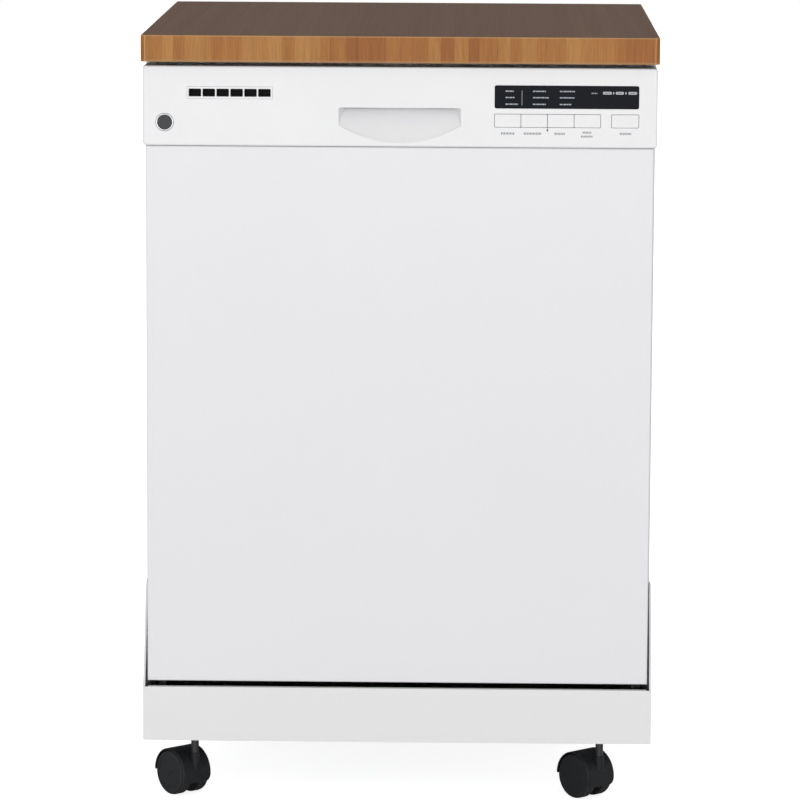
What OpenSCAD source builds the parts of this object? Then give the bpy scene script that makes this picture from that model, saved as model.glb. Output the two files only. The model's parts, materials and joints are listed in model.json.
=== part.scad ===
// Portable dishwasher on wheels. Millimetres, +Z up, the front faces -Y, and the
// origin is on the floor under the middle of the worktop.

/* [Overall] */
// Width over the worktop and the kick panel
body_w = 622; // [600:1:640]
// Depth of the worktop, front to back
top_d = 650; // [630:1:680]
// Height from the floor to the worktop's upper face
total_h = 940; // [920:1:960]
// Thickness of the worktop
top_t = 32; // [26:1:38]
// Radius of the worktop's upright corners
top_r = 5; // [2:1:12]
// Dark gap between the worktop and the console
top_gap = 5; // [3:0.5:6]
// How far the worktop stands in front of the door
top_overhang = 10; // [9:1:16]

/* [Door and console] */
// Thickness of the door
door_t = 53; // [50:1:56]
// Height of the control console
console_h = 96; // [92:1:102]
// How far the console stands in front of the door skin
console_proud = 2.5; // [1.5:0.5:4]
// Thickness of the console's plastic
console_wall = 2.5; // [2:0.5:3]
// How far the door skin's side lies inside the kick panel's end
door_side_gap = 5.3; // [4.5:0.1:6]
// How much wider the console is than the door skin on each side
console_lap = 3.3; // [1.5:0.1:3.8]
// Sheet thickness of the door skin and the liner
door_sheet = 1.2; // [0.8:0.1:1.6]
// Width of the handle pocket
pocket_w = 146.4; // [130:1:160]
// Height of the handle pocket at its middle
pocket_h = 38.7; // [34:1:41]
// Depth of the handle pocket
pocket_d = 29; // [24:1:32]
// Height of the curve at the pocket's lower edge
pocket_arch = 18; // [12:1:22]

/* [Base and casters] */
// Floor to the underside of the base frame
caster_h = 76; // [70:1:80]
// Height of the kick panel
kick_h = 67; // [62:1:72]
// Gap between the kick panel and the door
kick_gap = 6; // [5:1:8]
// How far the kick panel stands in front of the door skin
kick_proud = 7; // [5:0.5:8]
// How far a side panel's face lies inside the kick panel's end
side_step = 2; // [1:0.2:2.4]
// Thickness of the folded wings beside the door's lower end
wing_t = 2.6; // [2.4:0.1:3]
// Radius of a caster wheel
wheel_r = 27.5; // [26:0.5:30]
// Thickness of one caster wheel
wheel_t = 13.5; // [12:0.5:15]
// Gap between the two wheels of a caster
wheel_gap = 13.5; // [13:0.5:16]
// Distance from a caster's stem to its axle
caster_trail = 24.5; // [21:0.5:25]
// Diameter of a caster's stem
stem_d = 9.5; // [8:0.5:11]
// Distance of a stem from the side of the cabinet
stem_inset_x = 62; // [58:1:70]
// Distance of the front stems behind the front of the base frame
front_stem_inset = 14; // [12:1:28]
// Distance of the rear stems in front of the cabinet's back
rear_stem_inset = 53; // [49:1:75]
// Turn of the casters about their stems, degrees
caster_turn = 42; // [0:1:60]

/* [Tub and racks] */
// Gap from a side panel's inside to the tub
tub_side_gap = 24; // [20:1:28]
// Gap from the worktop's underside to the tub's inside
tub_top_gap = 28; // [26:1:32]
// Gap from the back panel to the tub
tub_back_gap = 22; // [20:1:28]
// Wall of the tub
tub_wall = 2.5; // [2:0.5:3]
// Depth of the tub's floor under its sill
tub_sump_drop = 24; // [20:1:28]
// Height of the wheels' clearance over the open door
sill_step = 4; // [3:0.5:6]
// Radius of a rack wire
wire_r = 2.2; // [1.8:0.1:2.6]
// Underside of the lower rack above the sill
lower_rack_rise = 58; // [56:1:64]
// Height of the lower rack
lower_rack_h = 135; // [110:1:150]
// Underside of the upper rack above the sill
upper_rack_rise = 349; // [340:1:360]
// Height of the upper rack
upper_rack_h = 110; // [90:1:120]
// Height of the lower rack's tines
lower_tine_h = 85; // [70:1:90]
// Height of the upper rack's tines
upper_tine_h = 60; // [45:1:70]
// Width of the cutlery basket
basket_w = 220; // [190:1:240]
// Depth of the cutlery basket
basket_d = 84; // [76:1:92]
// Height of the cutlery basket
basket_h = 128; // [110:1:132]
// Radius of the lower rack's wheels
rack_wheel_r = 17; // [15:0.5:18]
// Reach of the spray arms
arm_reach = 232; // [200:1:234]

/* [Controls] */
// Number of cycle buttons beside the power button
cycle_buttons = 4; // [4:1:4]
// Width of one cycle button
button_w = 31.9; // [30:0.1:32]
// Width of the power button
power_w = 32.3; // [28:0.1:34]
// Height of a button
button_h = 15.5; // [13:0.5:17]
// Travel of a button
button_travel = 1.5; // [1:0.1:2]
// Clearance around a button
button_gap = 0.4; // [0.3:0.05:0.6]
// Width of the display window
display_w = 172.7; // [160:1:176]
// Height of the display window
display_h = 27.3; // [24:0.5:28]
// Travel of the detergent cup's lid
lid_travel = 54; // [52:1:60]
// Rise of the float
float_travel = 10; // [8:1:12]

/* [Hidden] */
CORNERS = ["front_left", "front_right", "rear_left", "rear_right"];
SIDES = [-1, 1];
FIXED = ["worktop", "side_panel_left", "side_panel_right", "back_panel", "base_frame", "kick_panel",
  "tub", "door_gasket", "top_rail", "latch_strike", "sump", "filter_screen", "wash_pump", "drain_pump",
  "inlet_valve", "heater_element", "spray_feed_tube", "hinge_brackets", "door_springs",
  "rack_rollers", "cabinet_screws", "hose_connector", "caster_stems"];
DOOR = ["door_skin", "console", "door_liner", "vent_grille", "display_window", "control_board",
  "latch_body", "dispenser_body", "hinge_arms", "door_screws"];
MOVERS = ["button_power", "dispenser_lid", "rinse_cap", "float", "lower_spray_arm", "upper_rack",
  "rack_manifold", "upper_spray_arm", "lower_rack", "lower_rack_wheels", "cutlery_basket"];

// Clearances
run_fit = 0.05;
slide_fit = 0.3;

// Colours
WHITE = "whitesmoke";
PLASTIC = "white";
STEEL = "silver";
ZINC = "lightgray";
BLACK = "#222222";
GREY = "#8a8f94";
WIRE = "#9fb6c8";

// Planes, outside to inside
panel_t = 1.2;
half_w = body_w / 2;
panel_x = half_w - side_step;
panel_in = panel_x - panel_t;
front_y = -top_d / 2;
door_y = front_y + top_overhang;
console_y = door_y - console_proud;
kick_y = door_y - kick_proud;
door_back = door_y + door_t;
seal_gap = 6;
cabinet_y = door_back + seal_gap;
back_inset = 10;
back_y = top_d / 2 - back_inset;
worktop_z = total_h - top_t;
console_top = worktop_z - top_gap;
console_z = console_top - console_h;
kick_top = caster_h + kick_h;
door_z = kick_top + kick_gap;
door_x = half_w - door_side_gap;
console_x = door_x + console_lap;
kick_x = half_w;

// Hinge
hinge_inset = 10;
hinge_rise = 38;
pivot_y = door_back - hinge_inset;
pivot_z = door_z + hinge_rise;
pin_r = 4;
liner_t = 3;
liner_y = door_back - liner_t;
bracket_x = panel_in - 18;
bracket_t = 2.5;
arm_t = 3;
arm_x = bracket_x + bracket_t + 0.8;
spring_r = 12.5;
spring_wire_r = 2;
spring_turns = 5;
spring_pitch = 2 * spring_wire_r + 0.6;
spring_x = bracket_x - spring_turns * spring_pitch - spring_wire_r - 2;
spring_zone_x = spring_x - spring_wire_r - 4;

// Base frame
frame_t = 2;
frame_y = kick_y + 14;
frame_h = 42;
stem_x = half_w - stem_inset_x;
socket_h = 30;

// Tub
sill_z = pivot_z + hinge_inset + sill_step;
tub_x = panel_in - tub_side_gap;
tub_in = tub_x - tub_wall;
tub_back = back_y - tub_back_gap;
tub_floor = sill_z - tub_sump_drop;
tub_top = worktop_z - tub_top_gap;
rim_w = 12;
ledge_w = 38;
sump_y = 20;
sump_r = 80;
float_r = 22;
float_gap = 18.8;
float_x = -(tub_x - ledge_w - float_r - float_gap);
float_y = cabinet_y + 2 * float_r + 28;

// Racks
rack_front = cabinet_y + 30;
rack_back = tub_back - 34;
lower_z = sill_z + lower_rack_rise;
lower_x = tub_in - 43;
upper_z = sill_z + upper_rack_rise;
upper_x = tub_in - 41;
roller_r = 12;
mid_rim = 0.45;
roller_z = upper_z + mid_rim * upper_rack_h;
roller_x = tub_in - 6;
rail_t = 2;
wheel_x = tub_in - 20;
rack_wheel_t = 10;
rack_wheels_y = [rack_front + 111, rack_front + 181, rack_back - 110, rack_back - 40];
hub_post_r = 9;
lower_arm_z = sill_z + 12;
upper_arm_z = upper_z - 40;

// Console places, measured from the console's lower edge and the middle
pocket_top = console_z + 46.7;
pocket_side_h = pocket_h - pocket_arch;
button_z = console_z + 32.4;
button_x0 = 113.4;
power_x = 270.3;
display_x = 200.2;
display_z = console_z + 60.9;
vent_x = -204.4;
vent_z = console_z + 63.8;
vent_w = 103;
vent_h = 14.5;
vent_slots = 6;
vent_pitch = 16.7;
vent_slot_w = 14.4;
vent_slot_h = 8.8;
badge_x = -282.6;
badge_z = console_z + 28;
badge_r = 11;

// Dispenser on the inside of the door
dispenser_x = 10;
dispenser_z = sill_z + 330;
dispenser_w = 230;
dispenser_h = 120;
dispenser_face = door_back + 3;
cup_w = 48;
cup_h = 62;
cup_x = dispenser_x + 12;
cap_x = dispenser_x + 78;
cap_r = 19;

// ---- shared shapes ----

// A box between two corners
module block(a, b) {
  translate(a) cube(b - a);
}

// A rectangle with round corners, about its middle
module rounded_rect(w, h, r) {
  square([w - 2 * r, h], center = true);
  square([w, h - 2 * r], center = true);
  for (sx = SIDES, sy = SIDES)
    translate([sx * (w / 2 - r), sy * (h / 2 - r)]) circle(r, $fn = 32);
}

// Stands a flat shape up in the XZ plane, from y0 back to y1
module upright(y0, y1) {
  translate([0, y1, 0]) rotate([90, 0, 0]) linear_extrude(y1 - y0) children();
}

// Stands a YZ outline up across X, from x0 to x1
module across(x0, x1) {
  translate([x0, 0, 0]) rotate([90, 0, 90]) linear_extrude(x1 - x0) children();
}

// A rod along X, Y or Z
module rod_x(x0, x1, y, z, r, fn = 40) {
  translate([x0, y, z]) rotate([0, 90, 0]) cylinder(h = x1 - x0, r = r, $fn = fn);
}

module rod_y(y0, y1, x, z, r, fn = 40) {
  translate([x, y1, z]) rotate([90, 0, 0]) cylinder(h = y1 - y0, r = r, $fn = fn);
}

module rod_z(z0, z1, x, y, r, fn = 40) {
  translate([x, y, z0]) cylinder(h = z1 - z0, r = r, $fn = fn);
}

// A straight rack wire between two points
module wire(a, b, r = wire_r) {
  v = b - a;
  len = norm(v);
  hull() translate(a) rotate([0, acos(v[2] / len), atan2(v[1], v[0])]) cylinder(h = len, r = r, $fn = 6);
}

// A pan-head screw: the head sits on z = 0 and the shank points down
screw_head = 1.8;
module screw(head_r = 4, shank = 8) {
  difference() {
    union() {
      cylinder(h = screw_head, r = head_r, $fn = 24);
      translate([0, 0, -shank]) cylinder(h = shank + 0.5, r = head_r / 2, $fn = 16);
    }
    for (turn = [0, 90])
      rotate([0, 0, turn]) translate([-head_r * 0.6, -0.5, 0.9]) cube([head_r * 1.2, 1, 2]);
  }
}

// ---- cabinet ----

module worktop() {
  edge = 1.5;
  color("#6b5a4c") {
    translate([0, 0, worktop_z]) linear_extrude(top_t - edge) rounded_rect(body_w, top_d, top_r);
    translate([0, 0, total_h - edge - 0.01])
      linear_extrude(edge + 0.01) rounded_rect(body_w - 2 * edge, top_d - 2 * edge, top_r - edge / 2);
  }
}

// Folded sheet, and a stepped wing whose front edge runs forward beside the door to the kick panel
module side_panel(side) {
  flange = 14;
  wing_y = kick_y + 1.3;
  wing_rear = cabinet_y + 14;
  outline = [[wing_rear, caster_h], [wing_rear, door_z + 115], [cabinet_y, door_z + 115],
    [cabinet_y - 8, door_z + 108], [cabinet_y - 19, door_z + 90], [cabinet_y - 33, door_z + 52],
    [cabinet_y - 51, door_z + 15], [wing_y, door_z - 4], [wing_y, caster_h]];
  color(WHITE) {
    across(side < 0 ? -half_w : half_w - wing_t, side < 0 ? wing_t - half_w : half_w) polygon(outline);
    mirror([side < 0 ? 1 : 0, 0, 0]) {
      block([panel_in, cabinet_y, caster_h], [panel_x, back_y, worktop_z]);
      block([panel_in - flange, cabinet_y, door_z + 120], [panel_in, cabinet_y + panel_t, worktop_z]);
      block([panel_in - flange, cabinet_y + panel_t, worktop_z - panel_t], [panel_in, back_y, worktop_z]);
      block([panel_in - flange, back_y - panel_t, caster_h + frame_h + 4], [panel_in, back_y, worktop_z]);
    }
  }
}

service_inset = 157.8;
service_x = panel_in - service_inset;
service_w = 150;
service_z = caster_h + 6;
service_h = 74;
service_d = 50;

module back_panel() {
  rib_h = 6;
  color(WHITE) difference() {
    union() {
      block([-panel_in, back_y, caster_h], [panel_in, back_y + panel_t, worktop_z]);
      for (k = [0:3])
        block([-panel_in + 70, back_y, 300 + k * 140], [panel_in - 70, back_y + 3, 300 + k * 140 + rib_h]);
    }
    block([service_x - service_w / 2, back_y - 1, service_z],
      [service_x + service_w / 2, back_y + 5, service_z + service_h]);
  }
}

module base_frame() {
  wall_top = caster_h + frame_h;
  post_w = 30;
  color(ZINC) difference() {
    union() {
      difference() {
        block([-panel_in, frame_y, caster_h], [panel_in, back_y, wall_top]);
        block([-panel_in + frame_t, frame_y + frame_t, caster_h + frame_t],
          [panel_in - frame_t, back_y - frame_t, wall_top + 1]);
      }
      for (sx = SIDES, y = [-150, 150]) mirror([sx < 0 ? 1 : 0, 0, 0]) {
        block([panel_in - 14, y, caster_h + frame_t], [panel_in - 4, y + post_w, tub_floor - tub_wall]);
        block([tub_in - 30, y, tub_floor - tub_wall - 3], [panel_in - 4, y + post_w, tub_floor - tub_wall]);
      }
      for (i = [0:3]) rod_z(caster_h, caster_h + socket_h, corner_x(i), corner_y(i), stem_d / 2 + 3.5);
    }
    for (i = [0:3]) rod_z(caster_h - 1, caster_h + socket_h + 1, corner_x(i), corner_y(i), stem_d / 2);
    block([service_x - service_w / 2, back_y - 5, service_z],
      [service_x + service_w / 2, back_y + 1, wall_top + 1]);
  }
}

module kick_panel() {
  clip_w = 40;
  color(WHITE) {
    translate([0, 0, caster_h + kick_h / 2])
      upright(kick_y, kick_y + 1.2) rounded_rect(2 * kick_x, kick_h, 4);
    block([-kick_x + 6, kick_y + 1, kick_top - 1.2], [kick_x - 6, kick_y + 8, kick_top]);
    block([-panel_in + 6, kick_y + 1, caster_h], [panel_in - 6, frame_y, caster_h + 1.2]);
    for (sx = SIDES)
      block([sx * 200 - clip_w / 2, kick_y + 1, caster_h + 18],
        [sx * 200 + clip_w / 2, frame_y, caster_h + 36]);
  }
}

module tub() {
  cable_y = tub_back - tub_wall;
  color(GREY) difference() {
    union() {
      difference() {
        block([-tub_x, cabinet_y, tub_floor - tub_wall], [tub_x, tub_back, tub_top + tub_wall]);
        block([-tub_in, cabinet_y + tub_wall, tub_floor], [tub_in, cable_y, tub_top]);
        block([-tub_in, cabinet_y - 1, sill_z], [tub_in, cable_y, tub_top]);
      }
      difference() {
        translate([0, 0, (sill_z + tub_top) / 2]) upright(cabinet_y, cabinet_y + tub_wall)
          rounded_rect(2 * tub_in + 2 * rim_w, tub_top - sill_z + 2 * rim_w, 12);
        block([-tub_in, cabinet_y - 1, sill_z], [tub_in, cabinet_y + 5, tub_top]);
      }
      rod_z(tub_floor - 1, tub_floor + 14 + float_travel, float_x, float_y, 15, 48);
      for (sx = SIDES) mirror([sx < 0 ? 1 : 0, 0, 0]) difference() {
        block([tub_x - ledge_w, cabinet_y + 1, tub_floor - 1], [tub_x - 1, cable_y + 1, sill_z]);
        block([tub_x - ledge_w + tub_wall, cabinet_y + 3, tub_floor - tub_wall - 1],
          [tub_x - tub_wall, cable_y - 1, sill_z - tub_wall]);
      }
    }
    rod_z(tub_floor - tub_wall - 2, tub_floor + 2, 0, sump_y, sump_r, 64);
    for (sx = SIDES)
      mirror([sx < 0 ? 1 : 0, 0, 0])
        block([tub_x - ledge_w + tub_wall, cabinet_y + 3, tub_floor - tub_wall - 2],
          [tub_x - tub_wall, cable_y - 1, tub_floor]);
  }
}

module door_gasket() {
  thick = seal_gap - slide_fit;
  bulb = 8;
  color(BLACK) difference() {
    translate([0, 0, (sill_z + tub_top) / 2]) difference() {
      upright(cabinet_y - thick, cabinet_y)
        rounded_rect(2 * tub_in + 2 * bulb + 4, tub_top - sill_z + 2 * bulb + 4, 10);
      upright(cabinet_y - thick - 1, cabinet_y + 1)
        rounded_rect(2 * tub_in + 4, tub_top - sill_z + 4, 6);
    }
    for (sx = SIDES) mirror([sx < 0 ? 1 : 0, 0, 0])
      block([spring_zone_x - 4, cabinet_y - thick - 1, sill_z - 20], [panel_in, cabinet_y + 1, pivot_z + 18]);
  }
}

rail_z = tub_top + rim_w;
strike_t = 3;
strike_z = rail_z + strike_t / 2 + 2;
strike_reach = 20;

module top_rail() {
  color(ZINC) difference() {
    block([-panel_in + 14, cabinet_y + 3, tub_top + tub_wall], [panel_in - 14, cabinet_y + 43, worktop_z]);
    block([-panel_in, cabinet_y + 5, rail_z - 11], [panel_in, cabinet_y + 44, worktop_z - 2]);
  }
}

module latch_strike() {
  color(STEEL) difference() {
    union() {
      block([-12, door_back - strike_reach, strike_z - strike_t / 2],
        [12, cabinet_y + 3, strike_z + strike_t / 2]);
      block([-22, cabinet_y, rail_z + 0.5], [22, cabinet_y + 3, worktop_z - 1]);
    }
    block([-6, door_back - strike_reach + 4, strike_z - 3], [6, door_back - strike_reach + 10, strike_z + 3]);
  }
}

module hinge_brackets() {
  foot_y = 42;
  under_rim = sill_z - rim_w - 1;
  color(ZINC) for (side = SIDES) mirror([side < 0 ? 1 : 0, 0, 0]) {
    difference() {
      across(bracket_x, bracket_x + bracket_t) {
        translate([pivot_y, pivot_z]) circle(13, $fn = 48);
        polygon([[pivot_y, pivot_z + 13], [pivot_y + 4, pivot_z + 12.4], [cabinet_y - 1, under_rim],
          [pivot_y + foot_y + 30, under_rim],
          [pivot_y + foot_y + 30, caster_h + frame_t], [pivot_y + foot_y, caster_h + frame_t],
          [pivot_y + foot_y, pivot_z - 22], [pivot_y + 4, pivot_z - 12.4]]);
      }
      rod_x(bracket_x - 1, bracket_x + bracket_t + 1, pivot_y, pivot_z, pin_r);
    }
    block([bracket_x - 16, pivot_y + foot_y, caster_h + frame_t],
      [bracket_x + 0.5, pivot_y + foot_y + 30, caster_h + frame_t + 2.5]);
    rod_x(spring_x - 4, arm_x + arm_t + 1, pivot_y, pivot_z, pin_r);
    rod_x(spring_x - 6, spring_x - 4, pivot_y, pivot_z, pin_r + 2);
  }
}

// One coil spring about the hinge pin, as a single swept tube
coil_steps = 12;
function coil_point(i) = [spring_x + spring_pitch * i / coil_steps,
  pivot_y + spring_r * cos(360 * i / coil_steps), pivot_z + spring_r * sin(360 * i / coil_steps)];
function ring(i, sides) = [for (k = [0:sides - 1]) let (a = 360 * k / sides, t = 360 * i / coil_steps)
  coil_point(i) + spring_wire_r * (cos(a) * [0, cos(t), sin(t)] + sin(a) * [1, 0, 0])];
function tube_faces(rings, sides) = concat([[for (k = [0:sides - 1]) k]],
  [[for (k = [sides - 1:-1:0]) (rings - 1) * sides + k]],
  [for (i = [0:rings - 2], k = [0:sides - 1]) let (a = i * sides + k, b = i * sides + (k + 1) % sides)
    [a, a + sides, b]],
  [for (i = [0:rings - 2], k = [0:sides - 1]) let (a = i * sides + k, b = i * sides + (k + 1) % sides)
    [b, a + sides, b + sides]]);

module door_springs() {
  sides = 6;
  rings = spring_turns * coil_steps + 1;
  points = [for (i = [0:rings - 1]) each ring(i, sides)];
  color(STEEL) for (side = SIDES) mirror([side < 0 ? 1 : 0, 0, 0])
    polyhedron(points, tube_faces(rings, sides));
}

// ---- wash system ----

module sump() {
  depth = 44;
  bowl_r = sump_r - 12;
  floor_z = tub_floor - tub_wall;
  color(GREY) difference() {
    union() {
      rod_z(floor_z - 4, floor_z, 0, sump_y, sump_r + 14, 64);
      rod_z(floor_z - depth, floor_z, 0, sump_y, bowl_r + 3, 64);
      rod_z(floor_z - depth, lower_arm_z + 12, 0, sump_y, hub_post_r, 48);
      rod_x(0, sump_r + 20, sump_y + 30, floor_z - depth + 18, 14);
      rod_x(-sump_r - 20, 0, sump_y - 20, floor_z - depth + 16, 10);
    }
    difference() {
      rod_z(floor_z - depth + 3, floor_z + 1, 0, sump_y, bowl_r, 64);
      rod_z(floor_z - depth, lower_arm_z + 12, 0, sump_y, hub_post_r, 48);
    }
    rod_z(floor_z - depth + 10, lower_arm_z + 13, 0, sump_y, hub_post_r - 3, 32);
  }
}

module filter_screen() {
  z = tub_floor - tub_wall;
  color(ZINC) difference() {
    union() {
      rod_z(z, z + 1.5, 0, sump_y, sump_r - 0.5, 64);
      rod_z(z - 20, z + 4, 0, sump_y, 30, 48);
    }
    rod_z(z - 18, z + 5, 0, sump_y, 28, 48);
    rod_z(z - 21, z + 5, 0, sump_y, hub_post_r + 2, 48);
    for (ring_r = [40, 50, 60, 70], k = [0:11])
      translate([ring_r * cos(30 * k + ring_r), sump_y + ring_r * sin(30 * k + ring_r), z - 1])
        cylinder(h = 4, r = 2.5, $fn = 16);
  }
}

module wash_pump() {
  z = tub_floor - tub_wall - 26;
  x0 = sump_r + 20;
  y = sump_y + 30;
  color(BLACK) {
    rod_x(x0, x0 + 30, y, z - 14, 36, 48);
    rod_x(x0 + 28, x0 + 112, y, z - 14, 31, 48);
    rod_x(x0 + 110, x0 + 116, y, z - 14, 12);
    block([x0 + 40, y - 20, caster_h + frame_t], [x0 + 90, y + 20, z - 40]);
  }
}

module drain_pump() {
  z = tub_floor - tub_wall - 28;
  x0 = -sump_r - 20;
  y = sump_y - 20;
  color("#3a4a57") {
    rod_x(x0 - 24, x0, y, z, 27, 48);
    rod_x(x0 - 74, x0 - 22, y, z, 21, 48);
    block([x0 - 64, y - 16, caster_h + frame_t], [x0 - 30, y + 16, z - 15]);
  }
}

module inlet_valve() {
  x = service_x - 42;
  y = back_y - service_d - 26;
  color(PLASTIC) {
    rod_y(y, y + 26, x, service_z + service_h / 2, 10);
    block([x - 17, y - 34, service_z + service_h / 2 - 18], [x + 17, y + 1, service_z + service_h / 2 + 18]);
    rod_z(caster_h + frame_t, service_z + service_h / 2 - 17, x, y - 16, 8);
  }
}

module heater_element() {
  ring_r = 168;
  r = 4;
  z = tub_floor + 12;
  color(GREY) {
    translate([0, sump_y, z]) rotate([0, 0, 100])
      rotate_extrude(angle = 340, $fn = 96) translate([ring_r, 0]) circle(r, $fn = 20);
    for (a = [100, 80])
      rod_z(tub_floor - tub_wall - 12, z, ring_r * cos(a), sump_y + ring_r * sin(a), r + 0.6, 24);
    for (a = [0, 180, 270])
      rod_z(tub_floor, z, ring_r * cos(a), sump_y + ring_r * sin(a), 3, 20);
  }
}

feed_y = tub_back - tub_wall - 13;
feed_r = 10;
feed_z = upper_arm_z + 22;

module spray_feed_tube() {
  color(GREY) {
    rod_z(tub_floor, feed_z + feed_r, 0, feed_y, feed_r);
    rod_y(feed_y - 16, feed_y, 0, feed_z, feed_r - 1.5);
    rod_y(sump_y + sump_r - 6, feed_y, 0, tub_floor + 10, 7);
  }
}

module float_dome() {
  x = float_x;
  y = float_y;
  color(PLASTIC) difference() {
    union() {
      rod_z(tub_floor + 3, tub_floor + 34, x, y, float_r, 48);
      rod_z(tub_floor + 34, tub_floor + 38, x, y, 14, 48);
    }
    rod_z(tub_floor + 2, tub_floor + 30, x, y, float_r - 3, 48);
  }
}

// ---- racks ----

// A wire basket: floor and walls of crossing wires, two rims, and rows of tines
module rack_wires(w, y0, y1, z0, h, nx, ny, tine_rows, tine_h, first_row = 0) {
  lift = 1.7 * wire_r;
  end = 20;
  dx = (2 * w - 2 * end) / (nx - 1);
  dy = (y1 - y0 - 2 * end) / (ny - 1);
  for (i = [0:nx - 1]) let (x = -w + end + i * dx) {
    wire([x, y0, z0], [x, y1, z0]);
    wire([x, y0, z0 - 1], [x, y0, z0 + h]);
    wire([x, y1, z0 - 1], [x, y1, z0 + h]);
  }
  for (i = [0:ny - 1]) let (y = y0 + end + i * dy) {
    wire([-w, y, z0 + lift], [w, y, z0 + lift]);
    wire([-w, y, z0 + lift - 1], [-w, y, z0 + h]);
    wire([w, y, z0 + lift - 1], [w, y, z0 + h]);
    if (i >= first_row) for (k = tine_rows) let (x = -w + end + (k + 0.5) * dx)
      wire([x, y, z0 + lift], [x, y, z0 + tine_h], wire_r * 0.8);
  }
  for (z = [z0 + h * mid_rim, z0 + h]) {
    for (y = [y0 - 1.5 * wire_r, y1 + 1.5 * wire_r]) wire([-w - 1, y, z], [w + 1, y, z]);
    for (x = [-w - 1.5 * wire_r, w + 1.5 * wire_r]) wire([x, y0 - 4, z], [x, y1 + 4, z]);
  }
}

module lower_rack() {
  color(WIRE) rack_wires(lower_x, rack_front, rack_back, lower_z, lower_rack_h, 11, 10,
    [1, 3, 6, 8], lower_tine_h, 2);
}

module lower_rack_wheels() {
  axle_z = sill_z + 0.4 + rack_wheel_r;
  color(PLASTIC) for (sx = SIDES) mirror([sx < 0 ? 1 : 0, 0, 0]) {
    for (y = rack_wheels_y) {
      rod_x(wheel_x - rack_wheel_t, wheel_x, y, axle_z, rack_wheel_r, 48);
      rod_x(lower_x + 1, wheel_x + 2, y, axle_z, 4);
      block([lower_x + 1, y - 7, axle_z - 6], [lower_x + 5, y + 7, lower_z + 14]);
    }
  }
}

module upper_rack() {
  color(WIRE) {
    rack_wires(upper_x - 8, rack_front, rack_back, upper_z, upper_rack_h, 11, 10, [2, 7],
      upper_tine_h);
    for (sx = SIDES, z = [roller_z - roller_r - 0.5 - rail_t, roller_z + roller_r + 0.5])
      block([sx > 0 ? upper_x : -roller_x, rack_front, z],
        [sx > 0 ? roller_x : -upper_x, rack_back, z + rail_t]);
    for (sx = SIDES)
      block([sx > 0 ? upper_x - 1 : -upper_x - 1, rack_front, roller_z - roller_r - 0.5 - rail_t],
        [sx > 0 ? upper_x + 1 : -upper_x + 1, rack_back, roller_z + roller_r + 0.5 + rail_t]);
    for (sx = SIDES, y = [rack_front + 40, sump_y, rack_back - 40])
      wire([sx * (upper_x - 9), y, roller_z], [sx * upper_x, y, roller_z], 3);
  }
}

module rack_manifold() {
  post_z = upper_arm_z - 8;
  color(GREY) difference() {
    union() {
      rod_y(sump_y, feed_y - 16 - slide_fit, 0, feed_z, hub_post_r);
      rod_z(post_z, feed_z, 0, sump_y, hub_post_r - 2);
      rod_z(post_z, post_z + 3, 0, sump_y, hub_post_r + 4);
      for (y = [sump_y - 10, rack_back - 60])
        block([-14, y, feed_z], [14, y + 10, upper_z - wire_r + 0.2]);
    }
    rod_y(sump_y + 6, feed_y, 0, feed_z, hub_post_r - 3);
  }
}

module rack_rollers() {
  color(PLASTIC) for (sx = SIDES, y = [cabinet_y + 24, cabinet_y + 68, rack_back - 40])
    mirror([sx < 0 ? 1 : 0, 0, 0]) {
      rod_x(upper_x + 8, roller_x - 2, y, roller_z, roller_r, 48);
      rod_x(upper_x + 6, tub_in, y, roller_z, 5);
    }
}

module cutlery_basket() {
  w = basket_w;
  y0 = rack_front + 8;
  y1 = y0 + basket_d;
  z0 = lower_z + 2.8 * wire_r;
  z1 = z0 + basket_h;
  wall = 2;
  cells = 4;
  slot = 8;
  color(GREY) {
    difference() {
      block([-w / 2, y0, z0], [w / 2, y1, z1]);
      for (k = [0:cells - 1], row = [0, 1])
        block([-w / 2 + wall + k * (w - wall) / cells, y0 + wall + row * (y1 - y0 - wall) / 2, z0 + wall],
          [-w / 2 + (k + 1) * (w - wall) / cells, y0 + (row + 1) * (y1 - y0 - wall) / 2, z1 + 1]);
      for (k = [0:11], row = [0:2])
        let (x = -w / 2 + 14 + k * (w - 33) / 11, z = z0 + 14 + row * (z1 - z0 - 20) / 3)
          block([x, y0 - 1, z], [x + slot, y1 + 1, z + (z1 - z0 - 20) / 3 - 10]);
    }
    difference() {
      block([-50, (y0 + y1) / 2 - 3, z1 - 30], [50, (y0 + y1) / 2 + 3, z1 + 34]);
      block([-38, (y0 + y1) / 2 - 4, z1 + 2], [38, (y0 + y1) / 2 + 4, z1 + 24]);
    }
  }
}

module spray_arm(z, bore_r) {
  tip = 14;
  color(GREY) translate([0, sump_y, z]) difference() {
    union() {
      for (turn = [35, 215]) rotate([0, 0, turn]) {
        linear_extrude(10) polygon([[0, -20], [arm_reach - tip, -tip], [arm_reach - tip, tip], [0, 20]]);
        translate([arm_reach - tip, 0, 0]) cylinder(h = 10, r = tip, $fn = 40);
      }
      cylinder(h = 15, r = 24, $fn = 48);
    }
    translate([0, 0, -1]) cylinder(h = 18, r = bore_r, $fn = 48);
    for (turn = [35, 215], k = [1:5])
      rotate([0, 0, turn]) translate([30 + k * 34, (k % 2) * 6 - 3, 6]) cylinder(h = 10, r = 1.6, $fn = 16);
  }
}

module lower_spray_arm() {
  spray_arm(lower_arm_z - 4, hub_post_r + run_fit);
}

module upper_spray_arm() {
  spray_arm(upper_arm_z - 4.5, hub_post_r - 2 + run_fit);
}

// ---- door ----

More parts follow.
